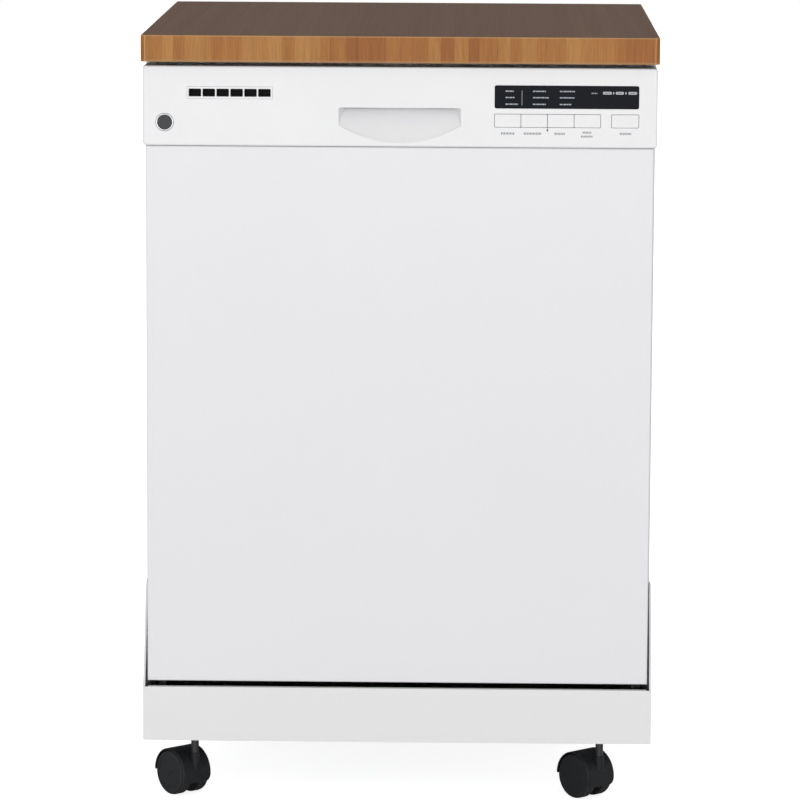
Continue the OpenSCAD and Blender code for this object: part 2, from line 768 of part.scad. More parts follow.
module door_skin() {
  flange = door_t - 6;
  lip = 22;
  color(WHITE) {
    block([-door_x, door_y, door_z], [door_x, door_y + door_sheet, console_z - 0.5]);
    for (sx = SIDES) mirror([sx < 0 ? 1 : 0, 0, 0])
      block([door_x - door_sheet, door_y, door_z], [door_x, door_y + flange, console_z - 0.5]);
    block([-spring_zone_x, door_y, door_z], [spring_zone_x, door_y + lip, door_z + door_sheet]);
    block([-door_x, door_y, console_z - 0.5 - door_sheet], [door_x, door_y + lip, console_z - 0.5]);
  }
}

// Front outline of the pocket: straight top and sides, an arc below
pocket_arc_r = (pow(pocket_w / 2, 2) + pow(pocket_arch, 2)) / (2 * pocket_arch);
module pocket_outline(grow, lift) {
  hw = pocket_w / 2 + grow;
  side_z = pocket_top - pocket_side_h;
  steps = 16;
  arc_z = side_z - pocket_arch - grow + lift + pocket_arc_r;
  polygon(concat([[hw, pocket_top + grow], [-hw, pocket_top + grow]],
    [for (k = [0:steps]) let (x = -hw + 2 * hw * k / steps)
      [x, arc_z - sqrt(pow(pocket_arc_r, 2) - pow(x, 2))]]));
}

// The pocket's hollow, with its lower side rising towards the back
module pocket_space(grow, y0, y1) {
  scoop = 10;
  hull() {
    upright(y0, y0 + 0.5) pocket_outline(grow, 0);
    upright(y1 - 0.5, y1) pocket_outline(grow, scoop);
  }
}

module button_hole(x0, x1) {
  block([x0 - button_gap, console_y - 1, button_z - button_h / 2 - button_gap],
    [x1 + button_gap, console_y + 10, button_z + button_h / 2 + button_gap]);
}

module console() {
  back = liner_y;
  inner_y = console_y + console_wall;
  w = console_wall;
  color(WHITE) difference() {
    union() {
      difference() {
        translate([0, 0, (console_z + console_top) / 2]) upright(console_y, back)
          rounded_rect(2 * console_x, console_h, 3.5);
        block([-console_x + w, inner_y, console_z + w], [console_x - w, back + 1, console_top - w]);
      }
      pocket_space(w, console_y + 0.5, console_y + pocket_d + w);
      rod_y(console_y - 0.8, console_y + 1, badge_x, badge_z, badge_r, 48);
    }
    pocket_space(0, console_y - 0.5, console_y + pocket_d);
    button_hole(button_x0, button_x0 + cycle_buttons * button_w);
    button_hole(power_x - power_w / 2, power_x + power_w / 2);
    translate([display_x, 0, display_z]) upright(console_y - 1, console_y + 5)
      rounded_rect(display_w, display_h, 2);
    translate([vent_x, 0, vent_z]) upright(console_y - 1, console_y + 5)
      rounded_rect(vent_w, vent_h, 1);
  }
}

module vent_grille() {
  color(WHITE) difference() {
    translate([vent_x, 0, vent_z]) upright(console_y - 0.6, console_y + 8) rounded_rect(vent_w, vent_h, 1);
    for (k = [0:vent_slots - 1])
      translate([vent_x + (k - (vent_slots - 1) / 2) * vent_pitch, 0, vent_z])
        upright(console_y - 1, console_y + 9) rounded_rect(vent_slot_w, vent_slot_h, 1);
  }
}

module display_window() {
  color(BLACK) translate([display_x, 0, display_z]) upright(console_y - 0.4, console_y + 3)
    rounded_rect(display_w, display_h, 2);
}

module control_board() {
  board_y = console_y + 17;
  color("#2f6b45") {
    block([button_x0 - 4, board_y, console_z + 18],
      [power_x + power_w / 2 + 4, board_y + 1.6, console_top - 22]);
    for (k = [0:cycle_buttons - 1])
      block([button_x0 + (k + 0.5) * button_w - 3, board_y - 3, button_z - 3],
        [button_x0 + (k + 0.5) * button_w + 3, board_y + 0.5, button_z + 3]);
    block([power_x - 3, board_y - 3, button_z - 3], [power_x + 3, board_y + 0.5, button_z + 3]);
    block([display_x - 60, board_y - 13.7, display_z - 10], [display_x + 60, board_y + 0.5, display_z + 10]);
  }
}

// A button between two edges: cap, retaining flange and stem
module button(x0, x1) {
  flange = 1.2;
  mid = (x0 + x1) / 2;
  stem_end = console_y + 14 - slide_fit - button_travel;
  color(WHITE) {
    translate([mid, 0, button_z])
      upright(console_y - 0.5, console_y + 5) rounded_rect(x1 - x0, button_h, 1.2);
    block([x0, console_y + 3.2, button_z - button_h / 2 - flange],
      [x1, console_y + 5, button_z + button_h / 2 + flange]);
    rod_y(console_y + 4, stem_end, mid, button_z, 2.5, 24);
  }
}

module cycle_button(k) {
  gap = 0.25;
  button(button_x0 + k * button_w + gap, button_x0 + (k + 1) * button_w - gap);
}

module button_power() {
  button(power_x - power_w / 2, power_x + power_w / 2);
}

module latch_body() {
  back = liner_y;
  color(BLACK) difference() {
    block([-30, back - 36, strike_z - 16], [30, back, console_top - console_wall]);
    block([-15, back - 32, strike_z - 4.5], [15, back + 1, strike_z + 4.5]);
  }
}

module door_liner() {
  returns = 18;
  y0 = liner_y;
  color(GREY) difference() {
    union() {
      block([-spring_zone_x, y0, pivot_z], [spring_zone_x, door_back, pivot_z + 20]);
      block([-door_x + door_sheet, y0, pivot_z + 18], [door_x - door_sheet, door_back, console_top - 2]);
      for (sx = SIDES) mirror([sx < 0 ? 1 : 0, 0, 0])
        block([door_x - 2 * door_sheet, door_y + door_t - 6 - returns, pivot_z + 18],
          [door_x - door_sheet, door_back, console_z - 0.5]);
    }
    translate([dispenser_x, 0, dispenser_z]) upright(y0 - 1, door_back + 1)
      rounded_rect(dispenser_w - 12, dispenser_h - 12, 8);
    block([-15, y0 - 1, strike_z - 4.5], [15, door_back + 1, console_top]);
  }
}

module dispenser_body() {
  y0 = door_back - 30;
  face = dispenser_face;
  color(GREY) difference() {
    union() {
      translate([dispenser_x, 0, dispenser_z]) upright(y0, door_back)
        rounded_rect(dispenser_w - 12.6, dispenser_h - 12.6, 8);
      translate([dispenser_x, 0, dispenser_z])
        upright(door_back, face) rounded_rect(dispenser_w, dispenser_h, 12);
      for (sz = SIDES)
        block([cup_x - cup_w / 2 - 4 - lid_travel, face - 1, dispenser_z + sz * (cup_h / 2 + 6) - 1.2],
          [cup_x + cup_w / 2 + 4, face + 3, dispenser_z + sz * (cup_h / 2 + 6) + 1.2]);
    }
    translate([cup_x, 0, dispenser_z]) upright(y0 + 3, face + 1) rounded_rect(cup_w, cup_h, 8);
    rod_y(y0 + 6, face + 1, cap_x, dispenser_z, cap_r - 3.95, 48);
  }
}

module dispenser_lid() {
  face = dispenser_face;
  color(GREY) {
    translate([cup_x, 0, dispenser_z]) upright(face + 0.2, face + 3.4) rounded_rect(cup_w + 8, cup_h + 8, 9);
    for (z = [-1, 1])
      block([cup_x - 20, face + 3, dispenser_z + z * 12 - 2],
        [cup_x + 20, face + 5, dispenser_z + z * 12 + 2]);
  }
}

module rinse_cap() {
  face = dispenser_face;
  color(BLACK) {
    rod_y(face + 0.2, face + 3, cap_x, dispenser_z, cap_r, 64);
    rod_y(face - 12, face + 1, cap_x, dispenser_z, cap_r - 4, 48);
    block([cap_x - cap_r + 4, face + 2, dispenser_z - 2.5], [cap_x + cap_r - 4, face + 6, dispenser_z + 2.5]);
  }
}

module hinge_arms() {
  arm_len = 330;
  back = liner_y;
  color(ZINC) for (side = SIDES) mirror([side < 0 ? 1 : 0, 0, 0]) difference() {
    union() {
      across(arm_x, arm_x + arm_t) {
        translate([pivot_y, pivot_z]) circle(12, $fn = 48);
        polygon([[pivot_y - 12, pivot_z], [back, pivot_z + 9], [back, pivot_z + arm_len],
          [back - 16, pivot_z + arm_len]]);
      }
      block([arm_x - 14, back - 2, pivot_z + 40], [arm_x + 1, back, pivot_z + arm_len]);
    }
    rod_x(arm_x - 1, arm_x + arm_t + 1, pivot_y, pivot_z, pin_r + run_fit);
  }
}

module door_screws() {
  color(STEEL) {
    for (sx = SIDES, z = [pivot_z + 80, pivot_z + 180, pivot_z + 300])
      translate([sx * (arm_x - 7), door_back - screw_head, z]) rotate([-90, 0, 0]) screw(3.5, 6);
    for (sx = SIDES)
      translate([sx * 180, door_back - screw_head, console_top - 12]) rotate([-90, 0, 0]) screw(3.5, 6);
  }
}

module cabinet_screws() {
  screw_step = (worktop_z - caster_h - 45) / 3;
  color(STEEL) {
    for (sx = SIDES, k = [0:3])
      translate([sx * (panel_in - 8), back_y + panel_t, caster_h + 25 + k * screw_step])
        rotate([-90, 0, 0]) screw(4, 8);
    for (sx = SIDES, dy = [8, 22])
      translate([sx * (bracket_x - 9), pivot_y + 42 + dy, caster_h + frame_t + 2.5]) screw(3.5, 4);
  }
}

module hose_connector() {
  x0 = service_x - service_w / 2;
  x1 = service_x + service_w / 2;
  z1 = service_z + service_h;
  y0 = back_y - service_d;
  face = y0 + 3;
  mid_z = service_z + service_h / 2;
  color(BLACK) difference() {
    union() {
      difference() {
        block([x0, y0, service_z], [x1, back_y + 3, z1]);
        block([x0 + 2.5, face, service_z + 2.5], [x1 - 2.5, back_y + 4, z1 - 2.5]);
      }
      rod_y(y0, back_y - 14, service_x - 42, mid_z, 13.2, 64);
      rod_y(y0, back_y - 10, service_x, mid_z, 9, 64);
      rod_y(y0, back_y - 28, service_x + 44, mid_z, 10, 64);
    }
    rod_y(y0 - 1, back_y, service_x - 42, mid_z, 9, 64);
    rod_y(y0 - 1, back_y, service_x, mid_z, 6.5, 64);
    rod_y(y0 - 1, back_y, service_x + 44, mid_z, 4, 64);
  }
}

// ---- casters ----

function corner_x(i) = (i % 2 == 0 ? -1 : 1) * stem_x;
function corner_y(i) = i < 2 ? frame_y + front_stem_inset : back_y - rear_stem_inset;

// Places children in a caster's own frame: stem at the origin, axle at +Y
module caster_frame(i) {
  translate([corner_x(i), corner_y(i), 0]) rotate([0, 0, caster_turn]) children();
}

module caster_stems() {
  color(ZINC) for (i = [0:3]) caster_frame(i) {
    rod_z(wheel_r + 8, caster_h + socket_h, 0, 0, stem_d / 2);
    rod_z(caster_h - 3, caster_h, 0, 0, stem_d / 2 + 4, 48);
  }
}

hood_gap = 1.3;
hood_t = 1.7;
skirt_z = 17;
module caster_hood(i) {
  width = 2 * wheel_t + wheel_gap;
  r = wheel_r + hood_gap + hood_t;
  web = wheel_gap - 2;
  color(BLACK) caster_frame(i) difference() {
    union() {
      difference() {
        rod_x(-width / 2, width / 2, caster_trail, wheel_r, r, 96);
        rod_x(-width / 2 - 1, width / 2 + 1, caster_trail, wheel_r, wheel_r + hood_gap, 96);
        block([-width, -60, -10], [width, caster_trail, skirt_z]);
        block([-width, caster_trail - 0.1, -10], [width, 90, wheel_r - 1]);
      }
      intersection() {
        rod_x(-web / 2, web / 2, caster_trail, wheel_r, wheel_r + hood_gap + 1, 64);
        block([-width, -60, wheel_r - 9], [width, 90, 90]);
      }
      rod_x(-web / 2, web / 2, caster_trail, wheel_r, 9, 40);
      rod_z(wheel_r + 6, 2 * wheel_r, 0, 0, wheel_gap / 2 - 0.6, 48);
      rod_x(-width / 2 + 2, width / 2 - 2, caster_trail, wheel_r, 4, 40);
    }
    rod_z(wheel_r, caster_h, 0, 0, stem_d / 2 + run_fit);
  }
}

module caster_wheel(i, side) {
  x0 = side < 0 ? -wheel_gap / 2 - wheel_t : wheel_gap / 2;
  x1 = x0 + wheel_t;
  outer = side < 0 ? x0 : x1;
  color(BLACK) caster_frame(i) difference() {
    union() {
      rod_x(x0 + 1.5, x1 - 1.5, caster_trail, wheel_r, wheel_r, 96);
      rod_x(x0, x1, caster_trail, wheel_r, wheel_r - 1.5, 96);
    }
    rod_x(x0 - 1, x1 + 1, caster_trail, wheel_r, 4 + run_fit, 40);
    difference() {
      rod_x(outer - 1.5, outer + 1.5, caster_trail, wheel_r, wheel_r - 6, 64);
      rod_x(outer - 2, outer + 2, caster_trail, wheel_r, 9, 40);
    }
  }
}

// ---- the assembly ----

worktop();
side_panel(-1);  // side_panel_left
side_panel(1);  // side_panel_right
back_panel();
base_frame();
kick_panel();
tub();
door_gasket();
top_rail();
latch_strike();
sump();
filter_screen();
wash_pump();
drain_pump();
inlet_valve();
heater_element();
spray_feed_tube();
hinge_brackets();
door_springs();
rack_rollers();
cabinet_screws();
hose_connector();
caster_stems();
door_skin();
console();
door_liner();
vent_grille();
display_window();
control_board();
latch_body();
dispenser_body();
hinge_arms();
door_screws();
for (k = [1:4]) cycle_button(k - 1);
button_power();
dispenser_lid();
rinse_cap();
float_dome();  // float
lower_spray_arm();
upper_rack();
rack_manifold();
upper_spray_arm();
lower_rack();
lower_rack_wheels();
cutlery_basket();
for (i = [0:3]) caster_hood(i);
for (i = [0:3]) caster_wheel(i, -1);
for (i = [0:3]) caster_wheel(i, 1);
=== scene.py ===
import json
import math

import bmesh
import bpy
from mathutils import Matrix, Vector


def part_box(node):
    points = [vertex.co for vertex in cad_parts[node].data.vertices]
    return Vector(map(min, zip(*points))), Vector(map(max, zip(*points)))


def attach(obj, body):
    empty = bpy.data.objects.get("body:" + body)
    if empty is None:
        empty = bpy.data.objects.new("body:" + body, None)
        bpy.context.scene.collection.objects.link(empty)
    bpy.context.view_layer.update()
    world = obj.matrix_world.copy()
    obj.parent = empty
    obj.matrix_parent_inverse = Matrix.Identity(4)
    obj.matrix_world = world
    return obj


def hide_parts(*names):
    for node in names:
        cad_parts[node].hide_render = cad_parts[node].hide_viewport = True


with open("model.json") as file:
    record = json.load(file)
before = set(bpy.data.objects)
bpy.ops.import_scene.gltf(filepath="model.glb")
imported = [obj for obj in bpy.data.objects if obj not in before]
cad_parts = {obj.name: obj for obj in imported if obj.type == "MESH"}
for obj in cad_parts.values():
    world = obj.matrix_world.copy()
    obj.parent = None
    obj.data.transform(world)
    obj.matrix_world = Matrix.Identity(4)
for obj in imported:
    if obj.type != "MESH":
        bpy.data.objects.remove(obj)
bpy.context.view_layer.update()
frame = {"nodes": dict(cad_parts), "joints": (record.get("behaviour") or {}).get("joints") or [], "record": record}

MM = 0.001
nodes = frame["nodes"]
body_of_node = {node: body for body, members in frame["record"]["behaviour"]["bodies"].items()
                for node in members}
slot_of_node = {part["node"]: part["material_slot"] for part in frame["record"]["subparts"]}
CORNERS = ("front_left", "front_right", "rear_left", "rear_right")


# ------------------------------------------------------------ finishes

class Value:
    """An output in a finish's node tree. Arithmetic on it adds Math nodes."""

    def __init__(self, finish, socket):
        self.finish = finish
        self.socket = socket

    def combine(self, operation, first, second):
        return self.finish.node("Math", {"operation": operation}, {0: first, 1: second})

    def __add__(self, other):
        return self.combine("ADD", self, other)

    def __sub__(self, other):
        return self.combine("SUBTRACT", self, other)

    def __rsub__(self, other):
        return self.combine("SUBTRACT", other, self)

    def __mul__(self, other):
        return self.combine("MULTIPLY", self, other)

    def __gt__(self, other):
        return self.combine("GREATER_THAN", self, other)

    def __lt__(self, other):
        return self.combine("LESS_THAN", self, other)

    __radd__ = __add__
    __rmul__ = __mul__

    def absolute(self):
        return self.combine("ABSOLUTE", self, 0.0)


class Finish:
    """One surface finish: a Principled shader and what varies over the surface."""

    def __init__(self, name, colour, roughness, metallic=0.0, **constants):
        self.material = bpy.data.materials.new(name)
        self.material.use_nodes = True
        self.tree = self.material.node_tree
        self.shader = self.tree.nodes["Principled BSDF"]
        self.shader.inputs["Base Color"].default_value = (*colour, 1.0)
        self.shader.inputs["Roughness"].default_value = roughness
        self.shader.inputs["Metallic"].default_value = metallic
        for socket, value in constants.items():
            self.shader.inputs[socket.replace("_", " ")].default_value = value

    def node(self, kind, settings=None, inputs=None, output=0):
        """Adds a node; settings are set first, then each input is linked or given its value."""
        node = self.tree.nodes.new("ShaderNode" + kind)
        for key, value in (settings or {}).items():
            if key == "stops":
                self.set_stops(node.color_ramp, value)
            else:
                setattr(node, key, value)
        for key, value in (inputs or {}).items():
            if isinstance(value, Value):
                self.tree.links.new(value.socket, node.inputs[key])
            else:
                node.inputs[key].default_value = value
        return Value(self, node.outputs[output])

    @staticmethod
    def set_stops(ramp, stops):
        while len(ramp.elements) < len(stops):
            ramp.elements.new(0.5)
        for element, (position, colour) in zip(ramp.elements, stops):
            element.position = position
            element.color = (*colour, 1.0)

    def drive(self, socket, value):
        self.tree.links.new(value.socket, self.shader.inputs[socket])
        return self

    def place(self, stretch=(1, 1, 1)):
        """Object coordinates in metres, stretched along the axes."""
        where = self.node("TexCoord", output="Object")
        return self.node("Mapping", None, {"Vector": where, "Scale": stretch})

    def axes(self):
        """The object coordinates as three numbers."""
        where = self.node("TexCoord", output="Object")
        return [self.node("SeparateXYZ", None, {0: where}, output=k) for k in range(3)]

    def noise(self, scale, detail=2.0, stretch=(1, 1, 1), rough=0.5):
        return self.node("TexNoise", None, {"Vector": self.place(stretch), "Scale": scale,
                                            "Detail": detail, "Roughness": rough})

    def mix(self, factor, first, second):
        """A colour between two colours."""
        ends = {6: first if isinstance(first, Value) else (*first, 1.0),
                7: second if isinstance(second, Value) else (*second, 1.0)}
        return self.node("Mix", {"data_type": "RGBA"}, {0: factor, **ends}, output=2)

    def vary(self, colour, amount, factor):
        """Lets the base colour wander a little between darker and lighter."""
        darker = [c * (1 - amount) for c in colour]
        lighter = [min(1.0, c * (1 + amount)) for c in colour]
        return self.drive("Base Color", self.mix(factor, darker, lighter))

    def rough(self, middle, spread, factor):
        return self.drive("Roughness", factor * (2 * spread) + (middle - spread))

    def bump(self, height, distance, strength=1.0):
        normal = self.node("Bump", None, {"Height": height, "Distance": distance, "Strength": strength})
        return self.drive("Normal", normal)


def enamel(name, colour):
    """Baked enamel on sheet steel: almost smooth, with a faint orange peel."""
    finish = Finish(name, colour, 0.3, Specular_IOR_Level=0.2, Coat_Weight=0.05, Coat_Roughness=0.12)
    finish.vary(colour, 0.012, finish.noise(5))
    finish.rough(0.3, 0.04, finish.noise(40, 3))
    return finish.bump(finish.noise(700, 2), 0.00002)


def moulded(name, colour, roughness, grain=1500, depth=0.00002, **constants):
    """Moulded plastic with a fine grain from the tool."""
    finish = Finish(name, colour, roughness, **constants)
    finish.vary(colour, 0.02, finish.noise(12, 3))
    finish.rough(roughness, 0.05, finish.noise(90, 3))
    return finish.bump(finish.noise(grain, 2), depth)


def speckled(name, colour):
    """Filled polypropylene of the tub: satin, with fine pale and dark specks."""
    finish = Finish(name, colour, 0.38)
    specks = finish.noise(1400, 1)
    dark = [c * 0.72 for c in colour]
    pale = [min(1.0, c * 1.18) for c in colour]
    base = finish.mix(specks > 0.66, colour, pale)
    finish.drive("Base Color", finish.mix(specks < 0.36, base, dark))
    finish.rough(0.38, 0.06, finish.noise(30, 3))
    return finish.bump(finish.noise(500, 2), 0.00004)


def metal(name, colour, roughness, stretch=(1, 1, 1), scale=500):
    """Bare or plated metal, with a brushed or mottled surface by its stretch."""
    finish = Finish(name, colour, roughness, 1.0)
    grain = finish.noise(scale, 3, stretch)
    finish.vary(colour, 0.08, finish.noise(scale / 6, 3, stretch))
    finish.rough(roughness, 0.08, grain)
    return finish.bump(grain, 0.00002)


TAN = (0.420, 0.194, 0.050)
HONEY = (0.366, 0.147, 0.032)
AMBER = (0.330, 0.121, 0.025)
RUSSET = (0.278, 0.090, 0.018)
STRIPS_PER_METRE = 62.0
GROUPS_PER_METRE = 24.0
GROUP_SHIFT = 3.7
STRIP_STOPS = (0.08, 0.3, 0.55, 0.85)


def strip_tone(finish, run, scale, shift=0.0):
    """A random number for each glued strip along a run."""
    colour = finish.node("TexVoronoi", {"voronoi_dimensions": "1D"}, {"W": run + shift, "Scale": scale},
                         output="Color")
    return finish.node("SeparateColor", None, {0: colour})


def strips(finish, run, shades):
    """The wood's colour strip by strip: each strip has a tone, and so has each group of strips."""
    tone = strip_tone(finish, run, STRIPS_PER_METRE)
    group = strip_tone(finish, run, GROUPS_PER_METRE, GROUP_SHIFT)
    stops = list(zip(STRIP_STOPS, shades))
    return finish.node("ValToRGB", {"stops": stops}, {0: tone * 0.6 + group * 0.4})


def wood_grain(finish, run, across, fine, broad):
    """Fine pores and a broader figure, both drawn out along the grain."""
    along = finish.node("CombineXYZ", None, {0: run * 1.0, 1: across})

    def drawn_out(stretch, **settings):
        space = finish.node("Mapping", None, {"Vector": along, "Scale": (*stretch, 1)})
        return finish.node("TexNoise", None, {"Vector": space, "Scale": 1.0, **settings})

    return drawn_out(fine, Detail=3.0), drawn_out(broad, Detail=2.0, Distortion=0.5)


def tinted(finish, wood, amount, low, high):
    """The wood's colour times a grey between two levels."""
    shade = finish.mix(amount, (low, low, low), (high, high, high))
    return finish.node("Mix", {"data_type": "RGBA", "blend_type": "MULTIPLY"}, {0: 1.0, 6: wood, 7: shade},
                       output=2)


def edge_band():
    """The slab's edge: upright strips, with a painted highlight along the arris and the foot, and a painted
    highlight line near each corner where its rounding starts.
    """
    finish = Finish("worktop_edge", HONEY, 0.42, Specular_IOR_Level=0.2)
    x, y, z = finish.axes()
    run = x + y
    pores, figure = wood_grain(finish, run, z, (1100, 30), (240, 8))
    wood = strips(finish, run, (RUSSET, AMBER, HONEY, TAN))
    coloured = tinted(finish, wood, pores * 0.72 + figure * 0.28, 0.36, 1.62)
    low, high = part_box("worktop")
    arris_height = 1.5 * MM
    foot_height = 2.6 * MM
    corner_highlight_inset = 5.2 * MM
    corner_highlight_half = 0.4 * MM
    # painted highlight: the band just under the upper edge is mixed halfway to pale orange, in place of light
    # caught by the eased arris
    arris_highlight = (high.z - z) < arris_height
    coloured = finish.mix(arris_highlight * 0.5, coloured, (0.56, 0.33, 0.15))
    # painted highlight: a pale band along the foot, in place of light caught by the slab's lower chamfer
    foot = (z - low.z) < foot_height
    coloured = finish.mix(foot * 0.4, coloured, (0.42, 0.26, 0.12))
    # painted highlight: a pale line where each corner's rounding starts, in place of light caught at the edge-band
    # joint
    corner_highlight = (x.absolute() - (high.x - corner_highlight_inset)).absolute() < corner_highlight_half
    finish.drive("Base Color", finish.mix(corner_highlight * 0.7, coloured, (0.62, 0.40, 0.20)))
    finish.rough(0.42, 0.05, pores)
    return finish.bump(pores, 0.00003)


def top_face():
    """The slab's face: the same strips run from front to back, darker and greyer than on the edge as painted shade
    and painted sheen.
    """
    finish = Finish("worktop_face", HONEY, 0.5, Specular_IOR_Level=0.03)
    x, y = finish.axes()[:2]
    pores, figure = wood_grain(finish, x, y, (1100, 9), (240, 2.5))
    # painted shade and painted sheen: strip tones about a third as bright as the edge's and greyer, standing in
    # for the light the face catches and its grazing reflection
    wood = strips(finish, x, ((0.133, 0.070, 0.039), (0.138, 0.073, 0.041), (0.142, 0.076, 0.043),
                              (0.148, 0.081, 0.047)))
    finish.drive("Base Color", tinted(finish, wood, pores * 0.4 + figure * 0.6, 0.82, 1.2))
    finish.rough(0.5, 0.05, pores)
    return finish.bump(pores, 0.00003)


WHITE = (0.80, 0.795, 0.815)
white_enamel = enamel("white_enamel", WHITE)
kick_enamel = enamel("kick_enamel", (0.80, 0.797, 0.80))
white_plastic = moulded("white_plastic", (0.80, 0.80, 0.81), 0.36)
worktop_face = top_face()
worktop_edge = edge_band()
GLASS = (0.005, 0.006, 0.009)
black_gloss = Finish("display_gloss", GLASS, 0.16, Specular_IOR_Level=0.03)
black_gloss.rough(0.16, 0.03, black_gloss.noise(60, 3)).vary(GLASS, 0.1, black_gloss.noise(9))
mark_grey = moulded("mark_grey", (0.40, 0.44, 0.50), 0.5)
mark_bright = moulded("mark_bright", (0.46, 0.47, 0.49), 0.5)
label_grey = moulded("label_grey", (0.28, 0.28, 0.29), 0.6)
line_grey = moulded("line_grey", (0.13, 0.13, 0.14), 0.6)
badge_ring = metal("badge_ring", (0.46, 0.465, 0.47), 0.34)
badge_field = moulded("badge_field", (0.06, 0.063, 0.068), 0.5, Specular_IOR_Level=0.15)
black_plastic = moulded("black_plastic", (0.022, 0.023, 0.025), 0.42, 1200, 0.00004)
caster_black = moulded("caster_black", (0.014, 0.015, 0.017), 0.45, 900, 0.00005, Specular_IOR_Level=0.2)
# near-black: the black plastic of the vent's louvres, and painted shade on the plate that closes the vent behind
# them
vent_black_and_shade = moulded("vent_black_and_shade", (0.006, 0.006, 0.007), 0.6, Specular_IOR_Level=0.1)
tread_black = moulded("tread_black", (0.010, 0.010, 0.011), 0.62, 700, 0.00008)
stem_black = moulded("stem_black", (0.018, 0.018, 0.019), 0.4)
seal_black = moulded("seal_black", (0.02, 0.02, 0.021), 0.7, 500, 0.00008)
tub_grey = speckled("tub_grey", (0.42, 0.435, 0.45))
liner_grey = speckled("liner_grey", (0.46, 0.475, 0.49))
part_grey = moulded("part_grey", (0.20, 0.21, 0.225), 0.42)
basket_grey = moulded("basket_grey", (0.16, 0.18, 0.20), 0.45)
rack_coat = moulded("rack_coat", (0.30, 0.37, 0.44), 0.32, 400, 0.00005)
zinc = metal("zinc_plate", (0.55, 0.56, 0.57), 0.42, scale=220)
stainless = metal("stainless", (0.62, 0.61, 0.60), 0.3, (1, 30, 1), 300)
spring_steel = metal("spring_steel", (0.35, 0.35, 0.36), 0.35)
pump_dark = moulded("pump_dark", (0.03, 0.038, 0.045), 0.5)
board_green = moulded("board_green", (0.02, 0.11, 0.05), 0.4)

FINISHED = (
    (white_enamel, "side_panel_left side_panel_right door_skin"),
    (kick_enamel, "kick_panel"),
    (zinc, "back_panel base_frame top_rail hinge_brackets hinge_arms"),
    (tub_grey, "tub"),
    (liner_grey, "door_liner"),
    (seal_black, "door_gasket"),
    (stainless, "latch_strike filter_screen heater_element cabinet_screws door_screws"),
    (spring_steel, "door_springs"),
    (part_grey, "sump spray_feed_tube dispenser_body lower_spray_arm rack_manifold upper_spray_arm"),
    (basket_grey, "dispenser_lid cutlery_basket"),
    (pump_dark, "wash_pump drain_pump"),
    (board_green, "control_board"),
    (rack_coat, "upper_rack lower_rack"),
    (black_plastic, "hose_connector latch_body rinse_cap"),
    (black_gloss, "display_window"),
    (stem_black, "caster_stems"),
    (white_plastic, "inlet_valve rack_rollers console vent_grille float lower_rack_wheels button_power "
                    "button_1 button_2 button_3 button_4"),
)
NODE_FINISH = {node: finish for finish, members in FINISHED for node in members.split()}
for corner in CORNERS:
    for part in ("hood", "wheel_left", "wheel_right"):
        NODE_FINISH[f"caster_{corner}_{part}"] = caster_black


# ------------------------------------------------------------ mesh tools

def from_bmesh(name, mesh_data):
    bmesh.ops.recalc_face_normals(mesh_data, faces=mesh_data.faces)
    mesh = bpy.data.meshes.new(name)
    mesh_data.to_mesh(mesh)
    mesh_data.free()
    piece = bpy.data.objects.new(name, mesh)
    bpy.context.scene.collection.objects.link(piece)
    return piece


def settle(piece):
    """Applies a piece's modifiers to its mesh."""
    bpy.context.view_layer.update()
    evaluated = piece.evaluated_get(bpy.context.evaluated_depsgraph_get())
    mesh = bpy.data.meshes.new_from_object(evaluated)
    piece.modifiers.clear()
    piece.data = mesh
    return piece


def smooth(piece, angle=32, evened=True):
    """Smooth shading, with creases where faces meet sharply, in which large flat faces stay flat."""
    piece.data.polygons.foreach_set("use_smooth", [True] * len(piece.data.polygons))
    piece.data.set_sharp_from_angle(angle=math.radians(angle))
    if evened:
        weighted = piece.modifiers.new("evened", "WEIGHTED_NORMAL")
        weighted.keep_sharp = True
        weighted.weight = 100
        settle(piece)
    return piece


def round_edges(piece, width, segments=2, angle=30):
    rounding = piece.modifiers.new("round", "BEVEL")
    rounding.width = width * MM
    rounding.segments = segments
    rounding.angle_limit = math.radians(angle)
    rounding.harden_normals = False
    return settle(piece)


def cut(piece, *tools):
    for tool in tools:
        boolean = piece.modifiers.new("cut", "BOOLEAN")
        boolean.operation = "DIFFERENCE"
        boolean.solver = "EXACT"
        boolean.object = tool
        settle(piece)
        bpy.data.objects.remove(tool)
    return piece


def join(name, pieces):
    """One piece from several, each keeping its finish."""
    with bpy.context.temp_override(active_object=pieces[0], selected_editable_objects=pieces,
                                   selected_objects=pieces, object=pieces[0]):
        bpy.ops.object.join()
    pieces[0].name = name
    pieces[0].data.name = name
    return pieces[0]


def finish_piece(piece, finish, body, slot, *replaced):
    if finish:
        piece.data.materials.clear()
        piece.data.materials.append(finish.material)
    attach(piece, body)
    if replaced:
        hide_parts(*replaced)
    return piece


def stand_in(piece, node, finish=None):
    """The piece takes a node's place: its body and its finish."""
    if finish is None and not piece.data.materials:
        finish = NODE_FINISH[node]
    return finish_piece(piece, finish, body_of_node[node], slot_of_node[node], node)


def lofted(name, loops):
    """A closed skin over loops of points, capped at both ends. Points are in millimetres."""
    skin = bmesh.new()
    rings = [[skin.verts.new(Vector(point) * MM) for point in loop] for loop in loops]
    count = len(rings[0])
    for first, second in zip(rings, rings[1:]):
        for k in range(count):
            skin.faces.new((first[k], first[(k + 1) % count], second[(k + 1) % count], second[k]))
    skin.faces.new(rings[0])
    skin.faces.new(rings[-1])
    return from_bmesh(name, skin)


def rounded_outline(width, height, radius, steps=5):
    """A rectangle about the origin with round corners, as flat points."""
    radius = max(radius, 0.01)
    points = []
    for sx, sy, start in ((1, 1, 0), (-1, 1, 90), (-1, -1, 180), (1, -1, 270)):
        for k in range(steps + 1):
            angle = math.radians(start + 90 * k / steps)
            points.append((sx * (width / 2 - radius) + radius * math.cos(angle),
                           sy * (height / 2 - radius) + radius * math.sin(angle)))
    return points


def facing(points, y, cx=0.0, cz=0.0):
    """Flat points stood up in the XZ plane."""
    return [(cx + u, y, cz + v) for u, v in points]


